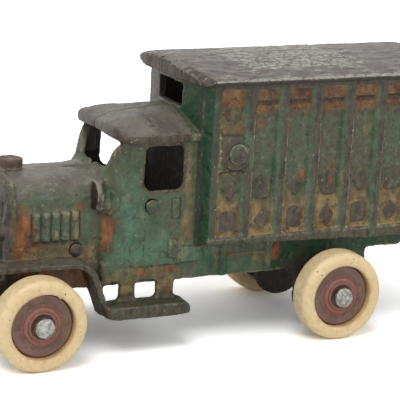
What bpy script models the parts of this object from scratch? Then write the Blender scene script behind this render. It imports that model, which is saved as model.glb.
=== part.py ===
"""Cast iron toy delivery truck: two mirrored body castings, rivets, axles, hubs and rubber tyres.

Metres, +Z up. The truck faces -Y, its left side is +X, and the origin lies on the ground
under the middle of its bounding box. Run it in Blender, in the background or from the
text editor. Sizes are written in millimetres times MM.
"""
import math

import bmesh
import bpy
from mathutils import Matrix, Vector

MM = 0.001

# Gaps
CLEARANCE = 0.3 * MM            # running gap between neighbouring pieces
SEAM = 0.3 * MM                 # gap between the two castings on the centre plane

# Wheels and axles
TYRE_DIAMETER = 25.4 * MM
TYRE_WIDTH = 7.6 * MM
TYRE_SHOULDER = 2.6 * MM        # rounding between the tread and the side wall
TRACK = 46.4 * MM               # between the middles of the left and right treads
WHEELBASE = 90.0 * MM
HUB_DIAMETER = 17.2 * MM
HUB_THICKNESS = 4.2 * MM
HUB_BOSS_DIAMETER = 10.4 * MM
HUB_BOSS_HEIGHT = 1.0 * MM
HUB_COLLAR_DIAMETER = 6.4 * MM
AXLE_DIAMETER = 3.2 * MM
AXLE_HEAD_DIAMETER = 5.6 * MM
AXLE_HEAD_HEIGHT = 1.8 * MM
AXLE_OVER_DATUM = 12.7 * MM     # every height in the castings is measured from a datum below the axle
WHEEL_STEPS = 32                # sides of every turned wheel part
PIN_STEPS = 16                  # sides of axles, rivets and their bores

# Castings in general
WALL = 2.0 * MM
RELIEF = 1.0 * MM               # depth of the sunken side panels
ORNAMENT = 0.7 * MM             # height of the raised ornaments in them

# Chassis rails and the ears that carry the axles
RAIL_HALF_WIDTH = 12.8 * MM     # outer face of a rail
RAIL_THICKNESS = 2.3 * MM
RAIL_BOTTOM = 17.7 * MM
RAIL_TOP = 24.6 * MM
RAIL_BEHIND_AXLE = 15.2 * MM    # where the deep part of the rail ends
TAIL_BOTTOM = 22.1 * MM
TAIL_BEHIND_AXLE = 27.4 * MM
EAR_RADIUS = 7.4 * MM
EAR_DROP = 3.1 * MM             # the ear's centre lies this much below the axle
EAR_FILLET = 4.0 * MM

# Van body
VAN_HALF_WIDTH = 20.6 * MM
VAN_LENGTH = 74.3 * MM
VAN_BEHIND_AXLE = 33.8 * MM     # rear wall behind the rear axle
VAN_BOTTOM_FRONT = 29.4 * MM
VAN_BOTTOM_REAR = 27.2 * MM     # the lower edge drops a little to the rear
VAN_FLOOR_TOP = 31.0 * MM
VAN_EAVES = 73.8 * MM
VAN_FRONT_BOW = 3.8 * MM        # the front wall swells forward in plan
VAN_BOW_POWER = 3.0
ROOF_SIDE_OVERHANG = 2.2 * MM
ROOF_FRONT_OVERHANG = 3.4 * MM
ROOF_REAR_OVERHANG = 1.6 * MM
ROOF_EDGE = 1.3 * MM            # thickness at the eaves
ROOF_CROWN = 3.6 * MM           # rise of the roof from the eaves to the ridge
ROOF_CORNER = 2.2 * MM
HATCH_HALF_WIDTH = 7.4 * MM     # opening in the front wall over the cab roof
HATCH_TOP_DROP = 1.6 * MM

# Side panels
COLUMNS = 7
RIB_WIDTH = 3.0 * MM
CORNER_POST = 2.4 * MM
PANEL_BOTTOM = 31.4 * MM
PANEL_TOP = 69.1 * MM
PANEL_HEAD = 72.3 * MM          # a shallower head lies between these two
BLOCK_BOTTOM = 49.6 * MM        # solid block behind each round boss
BLOCK_TOP = 59.8 * MM
BOSS_RADIUS = 4.7 * MM
BOSS_HEIGHT = 0.8 * MM
BOSS_FROM_END = 7.4 * MM        # boss centre to the end of the van
ORNAMENT_ROWS = (35.3 * MM, 44.8 * MM)
ORNAMENT_WIDTH = 4.8 * MM
ORNAMENT_HEIGHT = 6.6 * MM
OVAL_WIDTH = 4.6 * MM
OVAL_HEIGHT = 7.6 * MM

# Cab
CAB_HALF_WIDTH = 15.8 * MM
CAB_BOTTOM = 23.5 * MM
CAB_TO_WINDSHIELD = 24.1 * MM   # van corner to the top of the windshield
CAB_TO_COWL = 29.2 * MM         # van corner to the front of the cowl
CAB_EAVES = 57.9 * MM
CAB_ROOF_EDGE = 1.8 * MM
CAB_ROOF_CROWN = 5.4 * MM       # at the van wall
CAB_ROOF_BROW = 2.0 * MM        # rise at the front edge
CAB_ROOF_BROW_LENGTH = 4.0 * MM # over this length the roof climbs faster
CAB_ROOF_SIDE_OVERHANG = 1.1 * MM
CAB_ROOF_FRONT_OVERHANG = 0.9 * MM
CAB_ROOF_BOW = 1.3 * MM
CAB_CORNER = 6.0 * MM           # plan rounding between the cab's front and side
CAB_ROOF_CORNER = 3.6 * MM
WINDSHIELD_RAKE = 0.27          # forward run for each unit of drop
WINDSHIELD_SILL = 50.3 * MM
WINDSHIELD_TOP_HALF = 13.0 * MM
WINDSHIELD_SILL_HALF = 8.4 * MM
WINDOW_LENGTH = 11.4 * MM
WINDOW_HEIGHT = 12.1 * MM
WINDOW_SILL = 44.6 * MM
WINDOW_FROM_VAN = 5.9 * MM
WINDOW_CORNER = 2.2 * MM
WINDOW_FLARE = 2.0 * MM         # the opening widens by this much behind the outer skin
WINDOW_SKIN = 0.8 * MM

# Hood and radiator
HOOD_HALF_WIDTH = 12.5 * MM
HOOD_TOP = 49.0 * MM
HOOD_SHOULDER = 6.5 * MM        # rounding of the hood's upper corners
RADIATOR_AHEAD_OF_AXLE = 6.0 * MM
RADIATOR_SHELL = 2.7 * MM       # length of the raised shell
RADIATOR_LIP = 0.5 * MM
GRILLE_DEPTH = 0.9 * MM
GRILLE_SLOTS = 4
GRILLE_OPEN_SHARE = 2 / 3       # share of the grille's width that its slots take
CAP_RADIUS = 3.4 * MM
CAP_HEIGHT = 3.2 * MM
LAMP_RADIUS = 2.9 * MM
LAMP_REACH = 3.2 * MM
LAMP_HEIGHT = 35.0 * MM
LOUVRES = 5
LOUVRE_WIDTH = 2.2 * MM
LOUVRE_OVER_RIVET = 2.8 * MM
LOUVRE_TOP = 39.8 * MM
LOUVRE_HEIGHT = 0.8 * MM
COWL_LUG_LENGTH = 2.1 * MM      # upright lug on each side of the cowl
COWL_LUG_BOTTOM = 40.2 * MM
COWL_LUG_TOP = 47.8 * MM

# Front mudguards, running boards, side aprons and bumper
GUARD_HALF_WIDTH = 19.6 * MM
GUARD_THICKNESS = 1.3 * MM
GUARD_AHEAD_OF_TYRE = 1.1 * MM
GUARD_KNEE_BEHIND_TYRE = 2.3 * MM
GUARD_SHIN_BEHIND_TYRE = 6.7 * MM
GUARD_SHIN_HEIGHT = 14.5 * MM
GUARD_FOOT_BEHIND_TYRE = 8.1 * MM
GUARD_LEG_THICKNESS = 1.7 * MM
BOARD_HALF_WIDTH = 20.8 * MM
BOARD_BOTTOM = 10.2 * MM
BOARD_TOP = 13.8 * MM
BOARD_END_AHEAD_OF_VAN = 3.8 * MM
APRON_FACE = 15.6 * MM
APRON_INSET_END = 7.2 * MM      # the last strut ends this far ahead of the van corner
FRONT_STRUT_WIDTH = 4.4 * MM
REAR_STRUT_WIDTH = 5.0 * MM
REAR_HOLE_LENGTH = 6.6 * MM
HOLE_TOP = 19.3 * MM
HOLE_CORNER = 1.4 * MM
SKIRT_BOTTOM = 19.2 * MM
SKIRT_FROM_VAN = 22.7 * MM      # rear end of the tool box skirt behind the van corner
BUMPER_AHEAD_OF_TYRE = 1.1 * MM
BUMPER_HALF_WIDTH = 21.0 * MM
BUMPER_BOTTOM = 15.6 * MM
BUMPER_TOP = 19.8 * MM
BUMPER_THICKNESS = 2.0 * MM

# Rivets, each through a post in both castings
RIVET_DIAMETER = 3.0 * MM
RIVET_HEAD_HEIGHT = 1.1 * MM
POST_RADIUS = 2.9 * MM
HOOD_RIVET_HEAD = 3.6 * MM
CAB_RIVET_HEAD = 3.8 * MM
VAN_RIVET_HEAD = 5.6 * MM
HOOD_RIVET_OVER_GUARD = 1.8 * MM    # its centre over the flat top of the mudguard
HOOD_RIVET_BEHIND_AXLE = 14.1 * MM
CAB_RIVET_HEIGHT = 40.3 * MM
CAB_RIVET_FROM_VAN = 15.0 * MM
VAN_RIVET_HEIGHT = 54.8 * MM

# Places along the truck. The first group is measured back from the rear axle.
van_rear_reach = VAN_BEHIND_AXLE
roof_rear_reach = van_rear_reach + ROOF_REAR_OVERHANG
bumper_reach = -(WHEELBASE + TYRE_DIAMETER / 2 + BUMPER_AHEAD_OF_TYRE + BUMPER_THICKNESS)

REAR_AXLE = -(roof_rear_reach + bumper_reach) / 2
FRONT_AXLE = REAR_AXLE - WHEELBASE
VAN_REAR = REAR_AXLE + VAN_BEHIND_AXLE
VAN_FRONT = VAN_REAR - VAN_LENGTH
WINDSHIELD_TOP_Y = VAN_FRONT - CAB_TO_WINDSHIELD
COWL_FRONT = VAN_FRONT - CAB_TO_COWL
RADIATOR_FRONT = FRONT_AXLE - RADIATOR_AHEAD_OF_AXLE
BUMPER_FRONT = FRONT_AXLE - TYRE_DIAMETER / 2 - BUMPER_AHEAD_OF_TYRE - BUMPER_THICKNESS
AXLE_HEIGHT = TYRE_DIAMETER / 2
LIFT = AXLE_HEIGHT - AXLE_OVER_DATUM    # the castings ride up or down with the wheels
GUARD_TOP = AXLE_OVER_DATUM + TYRE_DIAMETER / 2 + CLEARANCE + GUARD_THICKNESS
HOOD_RIVET_HEIGHT = GUARD_TOP + HOOD_RIVET_OVER_GUARD
LOUVRE_BOTTOM = HOOD_RIVET_HEIGHT + LOUVRE_OVER_RIVET
GUARD_FRONT = FRONT_AXLE - TYRE_DIAMETER / 2 - GUARD_AHEAD_OF_TYRE
TYRE_BACK = FRONT_AXLE + TYRE_DIAMETER / 2
GUARD_KNEE = TYRE_BACK + GUARD_KNEE_BEHIND_TYRE
GUARD_SHIN = TYRE_BACK + GUARD_SHIN_BEHIND_TYRE
GUARD_FOOT = TYRE_BACK + GUARD_FOOT_BEHIND_TYRE
RAIL_INNER = RAIL_HALF_WIDTH - RAIL_THICKNESS
INNER = SEAM / 2                # inner face of the +X casting
BIG = 0.3                       # reaches past everything
SINK = 0.4 * MM                 # how far added shapes reach into the wall behind them
GRID = 0.001 * MM               # corners of every outline are snapped to this

# A curve's own axes (along, up, out) laid on the world's for each extrusion direction.
FRAMES = {
    "x": Matrix(((0, 0, 1), (1, 0, 0), (0, 1, 0))).to_4x4(),
    "y": Matrix(((1, 0, 0), (0, 0, -1), (0, 1, 0))).to_4x4(),
    "z": Matrix.Identity(4),
}


def clear_scene():
    for obj in list(bpy.data.objects):
        bpy.data.objects.remove(obj, do_unlink=True)


def make_collection(name):
    collection = bpy.data.collections.new(name)
    bpy.context.scene.collection.children.link(collection)
    return collection


def make_material(name, colour, roughness, metallic):
    material = bpy.data.materials.new(name)
    material.use_nodes = True
    shader = material.node_tree.nodes["Principled BSDF"]
    shader.inputs["Base Color"].default_value = (*colour, 1)
    shader.inputs["Roughness"].default_value = roughness
    shader.inputs["Metallic"].default_value = metallic
    material.diffuse_color = (*colour, 1)
    return material


def evaluated_mesh(obj):
    """The object's mesh with its modifiers, in world space."""
    depsgraph = bpy.context.evaluated_depsgraph_get()
    mesh = bpy.data.meshes.new_from_object(obj.evaluated_get(depsgraph))
    mesh.transform(obj.matrix_world)
    return mesh


def replace_by_mesh(obj, name):
    """Turns an object into a plain, welded mesh object whose normals point out."""
    mesh = evaluated_mesh(obj)
    bm = bmesh.new()
    bm.from_mesh(mesh)
    bmesh.ops.remove_doubles(bm, verts=bm.verts, dist=0.000002)
    bmesh.ops.recalc_face_normals(bm, faces=bm.faces)
    bm.to_mesh(mesh)
    bm.free()
    bpy.data.objects.remove(obj, do_unlink=True)
    mesh.name = name
    solid = bpy.data.objects.new(name, mesh)
    bpy.context.scene.collection.objects.link(solid)
    return solid


def rounded(corners, turn=math.radians(18)):
    """Outline points from corners (a, b) or (a, b, radius), with each radius as an arc."""
    points = []
    count = len(corners)
    for index, corner in enumerate(corners):
        here = Vector(corner[:2])
        if len(corner) == 2:
            points.append(here)
            continue
        before = (Vector(corners[index - 1][:2]) - here).normalized()
        after = (Vector(corners[(index + 1) % count][:2]) - here).normalized()
        half_angle = before.angle(after) / 2
        centre = here + (before + after).normalized() * corner[2] / math.sin(half_angle)
        start = here + before * corner[2] / math.tan(half_angle) - centre
        end = here + after * corner[2] / math.tan(half_angle) - centre
        sweep = start.angle_signed(end)
        steps = max(1, math.ceil(abs(sweep) / turn))
        for step in range(steps + 1):
            # angle_signed is clockwise, a rotation matrix is not.
            arm = Matrix.Rotation(-sweep * step / steps, 2) @ start
            points.append(centre + arm)
    return points


def prism(corners, axis, low, high):
    """A flat outline extruded along one axis from low to high."""
    curve = bpy.data.curves.new("outline", "CURVE")
    curve.dimensions = "2D"
    curve.fill_mode = "BOTH"
    curve.extrude = (high - low) / 2
    points = rounded(corners)
    spline = curve.splines.new("POLY")
    spline.points.add(len(points) - 1)
    for slot, point in zip(spline.points, points):
        slot.co = (point[0], point[1], 0, 1)
    spline.use_cyclic_u = True
    holder = bpy.data.objects.new("outline", curve)
    bpy.context.scene.collection.objects.link(holder)
    middle = (high + low) / 2
    offset = Vector([middle if name == axis else 0 for name in "xyz"])
    holder.matrix_world = Matrix.Translation(offset) @ FRAMES[axis]
    bpy.context.view_layer.update()
    solid = replace_by_mesh(holder, "solid")
    for vertex in solid.data.vertices:
        vertex.co = [round(value / GRID) * GRID for value in vertex.co]
    return solid


def box(low, high):
    """A box between two corners."""
    outline = [(low[0], low[1]), (high[0], low[1]), (high[0], high[1]), (low[0], high[1])]
    return prism(outline, "z", low[2], high[2])


def rod(along, height, radius, low, high, steps=PIN_STEPS):
    """A round bar along X, centred on (along, height)."""
    outline = []
    for step in range(steps):
        angle = 2 * math.pi * (step + 0.5) / steps
        outline.append((along + radius * math.cos(angle), height + radius * math.sin(angle)))
    return prism(outline, "x", low, high)


def gather(solids):
    """Several separate solids as one object, to use as one tool."""
    bm = bmesh.new()
    for solid in solids:
        bm.from_mesh(solid.data)
    first = solids[0]
    bm.to_mesh(first.data)
    bm.free()
    for solid in solids[1:]:
        bpy.data.objects.remove(solid, do_unlink=True)
    return first


def combine(base, tool, operation):
    """Applies one exact Boolean to base and removes the tool."""
    step = base.modifiers.new("combine", "BOOLEAN")
    step.operation = operation
    step.solver = "EXACT"
    step.object = tool
    bpy.context.view_layer.update()
    result = replace_by_mesh(base, base.name)
    bpy.data.objects.remove(tool, do_unlink=True)
    return result


def union(solids):
    result = solids[0]
    for solid in solids[1:]:
        result = combine(result, solid, "UNION")
    return result


def common(first, second):
    return combine(first, second, "INTERSECT")


def without(base, tools):
    """Cuts away tools, which stay clear of each other."""
    return combine(base, gather(tools), "DIFFERENCE")


def bowed_front(half_width, corner_y, bow, power, steps=10):
    """Plan points of a front edge that swells forward, from the centre to the corner."""
    points = []
    for step in range(steps + 1):
        share = step / steps
        points.append((INNER + (half_width - INNER) * share, corner_y - bow * (1 - share ** power)))
    return points


def crown_section(half_width, edge_low, edge_high, crown, under_crown, steps=8):
    """Section of a crowned roof: a curved top over a flatter underside."""
    top = []
    under = []
    for step in range(steps + 1):
        share = step / steps
        x = INNER + (half_width - INNER) * share
        top.append((x, edge_high + crown * (1 - share ** 2)))
        if under_crown or share in (0, 1):
            under.append((x, edge_low + under_crown * (1 - share ** 2)))
    return top + under[::-1]


def plan_block(front, rear_y, side, low, high, rear_corner=None):
    """A block whose plan has the given front edge and a straight rear."""
    rear = (side, rear_y, rear_corner) if rear_corner else (side, rear_y)
    return prism(front + [rear, (INNER, rear_y)], "z", low, high)


# Van body


def van_block():
    front = bowed_front(VAN_HALF_WIDTH, VAN_FRONT, VAN_FRONT_BOW, VAN_BOW_POWER)
    block = plan_block(front, VAN_REAR, VAN_HALF_WIDTH, 0, VAN_EAVES + SINK, ROOF_EDGE)
    reach = VAN_FRONT - VAN_FRONT_BOW
    side_view = [(reach, VAN_BOTTOM_FRONT), (VAN_REAR, VAN_BOTTOM_REAR), (VAN_REAR, BIG), (reach, BIG)]
    return common(block, prism(side_view, "x", 0, BIG))


def van_roof():
    half_width = VAN_HALF_WIDTH + ROOF_SIDE_OVERHANG
    corner_y = VAN_FRONT - ROOF_FRONT_OVERHANG
    front = bowed_front(half_width, corner_y, VAN_FRONT_BOW, VAN_BOW_POWER)
    front[-1] = (*front[-1], ROOF_CORNER / 2)
    rear_y = VAN_REAR + ROOF_REAR_OVERHANG
    slab = plan_block(front, rear_y, half_width, 0, BIG, ROOF_CORNER)
    section = crown_section(half_width, VAN_EAVES, VAN_EAVES + ROOF_EDGE, ROOF_CROWN, 0)
    return common(slab, prism(section, "y", -BIG, BIG))


def van_void():
    inside = VAN_HALF_WIDTH - WALL - RELIEF
    front = bowed_front(inside, VAN_FRONT + WALL, VAN_FRONT_BOW, VAN_BOW_POWER)
    front = [(-SINK, front[0][1])] + front
    outline = front + [(inside, VAN_REAR - WALL - RELIEF), (-SINK, VAN_REAR - WALL - RELIEF)]
    return prism(outline, "z", VAN_FLOOR_TOP, VAN_EAVES + ROOF_EDGE / 2)


def hatch():
    """Opening in the front wall, from the cab roof to just under the van roof."""
    bottom = CAB_EAVES + CAB_ROOF_EDGE + CAB_ROOF_CROWN + SINK
    top = VAN_EAVES - HATCH_TOP_DROP
    outline = [(-SINK, bottom), (HATCH_HALF_WIDTH, bottom), (HATCH_HALF_WIDTH, top, WALL / 2), (-SINK, top)]
    return prism(outline, "y", VAN_FRONT - VAN_FRONT_BOW - WALL, VAN_FRONT + WALL)


def column_edges():
    """The front and rear edge of each sunken side panel."""
    pitch = (VAN_LENGTH - 2 * CORNER_POST + RIB_WIDTH) / COLUMNS
    first = VAN_FRONT + CORNER_POST
    return [(first + index * pitch, first + index * pitch + pitch - RIB_WIDTH) for index in range(COLUMNS)]


def boss_places():
    return [VAN_FRONT + BOSS_FROM_END, VAN_REAR - BOSS_FROM_END]


def side_panel_cutters():
    """Two sets of cutters: the deep panels, and the shallow heads over them."""
    outside = VAN_HALF_WIDTH + RELIEF
    corner = RELIEF / 2
    deep = []
    shallow = []
    for index, (front, rear) in enumerate(column_edges()):
        spans = [(PANEL_BOTTOM, PANEL_TOP)]
        if index in (0, COLUMNS - 1):
            spans = [(PANEL_BOTTOM, BLOCK_BOTTOM), (BLOCK_TOP, PANEL_HEAD)]
        else:
            low = PANEL_TOP - SINK
            head = [(front, low), (rear, low), (rear, PANEL_HEAD), (front, PANEL_HEAD)]
            shallow.append(prism(head, "x", VAN_HALF_WIDTH - RELIEF / 2, outside))
        for bottom, top in spans:
            panel = [(front, bottom, corner), (rear, bottom, corner), (rear, top), (front, top)]
            deep.append(prism(panel, "x", VAN_HALF_WIDTH - RELIEF, outside))
    return deep, shallow


def lozenge(y, z):
    half = ORNAMENT_WIDTH / 2
    rise = ORNAMENT_HEIGHT / 2
    return [(y - half, z), (y, z - rise), (y + half, z), (y, z + rise)]


def plaque(y, z):
    half = ORNAMENT_WIDTH / 2
    rise = ORNAMENT_HEIGHT / 2
    corner = half / 2
    return [
        (y - half, z - rise, corner),
        (y + half, z - rise, corner),
        (y + half, z + rise, corner),
        (y - half, z + rise, corner),
    ]


def ellipse(y, z, width, height, steps=16):
    points = []
    for step in range(steps):
        angle = 2 * math.pi * step / steps
        points.append((y + width / 2 * math.cos(angle), z + height / 2 * math.sin(angle)))
    return points


def side_ornaments():
    """Raised lozenges and plaques in two rows, and an oval ring over each boss."""
    base = VAN_HALF_WIDTH - RELIEF - SINK
    top = VAN_HALF_WIDTH - RELIEF + ORNAMENT
    solids = []
    for index, (front, rear) in enumerate(column_edges()):
        middle = (front + rear) / 2
        for row, height in enumerate(ORNAMENT_ROWS):
            shape = lozenge if (index + row) % 2 else plaque
            solids.append(prism(shape(middle, height), "x", base, top))
    for index in (0, COLUMNS - 1):
        middle = sum(column_edges()[index]) / 2
        height = (BLOCK_TOP + PANEL_HEAD) / 2
        oval = prism(ellipse(middle, height, OVAL_WIDTH, OVAL_HEIGHT), "x", base, top)
        eye = ellipse(middle, height, OVAL_WIDTH - 2 * RELIEF, OVAL_HEIGHT - 2 * RELIEF)
        solids.append(without(oval, [prism(eye, "x", base + SINK, BIG)]))
    return solids


def rear_door_cutters():
    """Two sunken panels in each half of the rear wall."""
    low = INNER + WALL
    high = VAN_HALF_WIDTH - CORNER_POST
    corner = RELIEF
    middle = (PANEL_BOTTOM + PANEL_TOP) / 2
    cutters = []
    for bottom, top in ((PANEL_BOTTOM + WALL, middle - WALL / 2), (middle + WALL / 2, PANEL_TOP)):
        outline = [(low, bottom, corner), (high, bottom, corner), (high, top, corner), (low, top, corner)]
        cutters.append(prism(outline, "y", VAN_REAR - RELIEF, VAN_REAR + RELIEF))
    return cutters


# Cab, hood and radiator


def windshield_y(height):
    """The raked front face of the cab at a given height."""
    return WINDSHIELD_TOP_Y - WINDSHIELD_RAKE * (CAB_EAVES - height)


def rake_start():
    """The height at which the raked face meets the upright cowl."""
    return CAB_EAVES - (WINDSHIELD_TOP_Y - COWL_FRONT) / WINDSHIELD_RAKE


def cab_plan(front, inset):
    """Plan of the cab: a front edge with a slight bow and round corners, then a straight side."""
    side = CAB_HALF_WIDTH - inset
    middle = INNER if inset == 0 else -SINK
    rear = VAN_FRONT + WALL / 2 if inset == 0 else VAN_FRONT - VAN_FRONT_BOW
    return [
        (middle, front + inset - CAB_ROOF_BOW),
        (side / 2, front + inset - CAB_ROOF_BOW * 0.75),
        (side, front + inset, CAB_CORNER - inset),
        (side, rear),
        (middle, rear),
    ]


def raked_cab(inset, low, high):
    """The cab at windshield height, its front leaning back, shrunk by inset."""
    block = prism(cab_plan(windshield_y(low), inset), "z", low, high)
    for vertex in block.data.vertices:
        if vertex.co.y < VAN_FRONT - VAN_FRONT_BOW - WALL:
            vertex.co.y += WINDSHIELD_RAKE * (vertex.co.z - low)
    return block


def cab_block():
    """The raked upper cab over the upright cowl and doors."""
    shoulder = rake_start()
    upper = raked_cab(0, shoulder, CAB_EAVES + SINK)
    lower = prism(cab_plan(COWL_FRONT, 0), "z", CAB_BOTTOM, shoulder + SINK)
    return union([upper, lower])


def cab_roof():
    half_width = CAB_HALF_WIDTH + CAB_ROOF_SIDE_OVERHANG
    corner_y = WINDSHIELD_TOP_Y - CAB_ROOF_FRONT_OVERHANG
    front = bowed_front(half_width, corner_y, CAB_ROOF_BOW, 2, 4)[:-1]
    front[-1] = (*front[-1][:1], corner_y - CAB_ROOF_BOW / 3)
    front.append((half_width, corner_y, CAB_ROOF_CORNER))
    rear = VAN_FRONT + WALL / 2
    slab = plan_block(front, rear, half_width, 0, BIG)
    edge_top = CAB_EAVES + CAB_ROOF_EDGE
    section = crown_section(half_width, CAB_EAVES, edge_top, CAB_ROOF_CROWN, CAB_ROOF_BROW / 2)
    crowned = common(slab, prism(section, "y", -BIG, BIG))
    nose = corner_y - CAB_ROOF_BOW
    knee = (CAB_ROOF_CROWN + CAB_ROOF_BROW) / 2
    side_view = [
        (nose, 0),
        (rear, 0),
        (rear, edge_top + CAB_ROOF_CROWN + SINK),
        (nose + CAB_ROOF_BROW_LENGTH, edge_top + knee, WALL),
        (nose, edge_top + CAB_ROOF_BROW, WALL / 4),
    ]
    return common(crowned, prism(side_view, "x", 0, BIG))


def cab_void():
    """The hollow cab, in two cutters that overlap where the rake starts."""
    shoulder = rake_start()
    upper = raked_cab(WALL, shoulder, CAB_EAVES - SINK)
    lower = prism(cab_plan(COWL_FRONT, WALL), "z", RAIL_TOP, shoulder + SINK)
    return union([upper, lower])


def window_outline(flare):
    """The side window's outline, widened by flare."""
    rear = VAN_FRONT - WINDOW_FROM_VAN + flare
    front = rear - WINDOW_LENGTH - 2 * flare
    low = WINDOW_SILL - flare
    top = WINDOW_SILL + WINDOW_HEIGHT + flare / 2
    corner = WINDOW_CORNER
    return [(front, low, corner), (rear, low, corner), (rear, top, corner), (front, top, corner)]


def side_window():
    """The side window, cut through the skin and flared inside."""
    skin = CAB_HALF_WIDTH - WINDOW_SKIN
    opening = prism(window_outline(0), "x", skin - SINK, CAB_HALF_WIDTH + SINK)
    flare = prism(window_outline(WINDOW_FLARE), "x", CAB_HALF_WIDTH - 2 * WALL, skin)
    return union([opening, flare])


def windshield():
    top = CAB_EAVES
    outline = [
        (-SINK, WINDSHIELD_SILL),
        (WINDSHIELD_SILL_HALF, WINDSHIELD_SILL, WALL / 2),
        (WINDSHIELD_TOP_HALF, top, WALL / 4),
        (-SINK, top + CAB_ROOF_BROW / 2),
    ]
    return prism(outline, "y", COWL_FRONT - WALL, WINDSHIELD_TOP_Y + 2 * WALL)


def hood_section(inset, bottom):
    """Half section of the hood with a rounded shoulder, shrunk by inset."""
    side = HOOD_HALF_WIDTH - inset
    top = HOOD_TOP - inset
    start = INNER if inset <= 0 else -SINK
    sag = HOOD_SHOULDER / 5
    shoulder = (side, top - sag, HOOD_SHOULDER - inset)
    return [(start, bottom), (side, bottom), shoulder, (start, top)]


def hood_block():
    front = RADIATOR_FRONT + RADIATOR_SHELL / 2
    rear = windshield_y(HOOD_TOP) + WALL
    hood = prism(hood_section(0, RAIL_TOP - SINK), "y", front, rear)
    shell_rear = RADIATOR_FRONT + RADIATOR_SHELL
    shell = prism(hood_section(-RADIATOR_LIP, RAIL_TOP), "y", RADIATOR_FRONT, shell_rear)
    return union([hood, shell])


def hood_void():
    outline = hood_section(WALL, -SINK)
    outline[1] = (RAIL_INNER, -SINK)
    outline[2] = (RAIL_INNER, outline[2][1], outline[2][2])
    return prism(outline, "y", RADIATOR_FRONT + WALL + GRILLE_DEPTH, COWL_FRONT + 2 * WALL)


def grille_cutters():
    """Upright slots in the radiator's face."""
    span = HOOD_HALF_WIDTH - WALL - INNER
    pitch = span / GRILLE_SLOTS
    low = RAIL_TOP + WALL
    high = HOOD_TOP - HOOD_SHOULDER
    cutters = []
    for index in range(GRILLE_SLOTS):
        centre = INNER + pitch * (index + 0.5)
        half = pitch * GRILLE_OPEN_SHARE / 2
        outline = [(centre - half, low), (centre + half, low), (centre + half, high), (centre - half, high)]
        cutters.append(prism(outline, "y", RADIATOR_FRONT - GRILLE_DEPTH, RADIATOR_FRONT + GRILLE_DEPTH))
    return cutters


def half_disc(radius, centre_y, low, high, steps=8):
    """Half of a round plug on the centre plane, standing upright."""
    outline = [(INNER, centre_y - radius)]
    for step in range(1, steps):
        angle = math.pi * step / steps
        outline.append((INNER + radius * math.sin(angle), centre_y - radius * math.cos(angle)))
    outline.append((INNER, centre_y + radius))
    return prism(outline, "z", low, high)


def radiator_cap():
    """Half of the knob on the radiator, with a narrower neck under it."""
    centre = FRONT_AXLE - RADIATOR_LIP
    neck_top = HOOD_TOP + CAP_HEIGHT / 6
    neck = half_disc(CAP_RADIUS - RELIEF / 2, centre, HOOD_TOP - WALL / 2, neck_top + SINK)
    knob = half_disc(CAP_RADIUS, centre, neck_top, HOOD_TOP + CAP_HEIGHT)
    return union([neck, knob])


def headlamp():
    """A round lamp cast on the radiator's face."""
    across = HOOD_HALF_WIDTH - LAMP_RADIUS
    outline = ellipse(across, LAMP_HEIGHT, 2 * LAMP_RADIUS, 2 * LAMP_RADIUS)
    return prism(outline, "y", RADIATOR_FRONT - LAMP_REACH, RADIATOR_FRONT + GRILLE_DEPTH + SINK)


def louvres():
    """Upright raised louvres on the hood's side."""
    front = RADIATOR_FRONT + RADIATOR_SHELL + LOUVRE_WIDTH * 2
    rear = COWL_FRONT - COWL_LUG_LENGTH - LOUVRE_WIDTH * 1.5
    pitch = (rear - front) / LOUVRES
    solids = []
    for index in range(LOUVRES):
        centre = front + pitch * (index + 0.5)
        outline = [
            (centre - LOUVRE_WIDTH / 2, LOUVRE_BOTTOM, LOUVRE_WIDTH / 4),
            (centre + LOUVRE_WIDTH / 2, LOUVRE_BOTTOM, LOUVRE_WIDTH / 4),
            (centre + LOUVRE_WIDTH / 2, LOUVRE_TOP, LOUVRE_WIDTH / 4),
            (centre - LOUVRE_WIDTH / 2, LOUVRE_TOP, LOUVRE_WIDTH / 4),
        ]
        solids.append(prism(outline, "x", HOOD_HALF_WIDTH - SINK, HOOD_HALF_WIDTH + LOUVRE_HEIGHT))
    return solids


def cowl_lug():
    """Upright lug with a rounded upper corner, between the hood's side and the cab's face."""
    inner = HOOD_HALF_WIDTH - HOOD_SHOULDER
    outline = [
        (inner, COWL_LUG_BOTTOM),
        (CAB_HALF_WIDTH, COWL_LUG_BOTTOM),
        (CAB_HALF_WIDTH, COWL_LUG_TOP, CAB_HALF_WIDTH - HOOD_HALF_WIDTH),
        (inner, COWL_LUG_TOP),
    ]
    return prism(outline, "y", COWL_FRONT - COWL_LUG_LENGTH, COWL_FRONT + CAB_CORNER / 3)


# Chassis, mudguard, running board and bumper


def ear_outline(axle_y):
    """Side view of a hanging ear: a round lobe that spreads into the rail above."""
    lobe = EAR_RADIUS
    bottom = AXLE_OVER_DATUM - EAR_DROP - lobe
    spread = lobe + EAR_FILLET
    top = RAIL_BOTTOM + SINK
    return [
        (axle_y - spread, top),
        (axle_y - lobe, RAIL_BOTTOM - EAR_FILLET / 2, EAR_FILLET),
        (axle_y - lobe, bottom, lobe * 0.95),
        (axle_y + lobe, bottom, lobe * 0.95),
        (axle_y + lobe, RAIL_BOTTOM - EAR_FILLET / 2, EAR_FILLET),
        (axle_y + spread, top),
    ]


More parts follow.
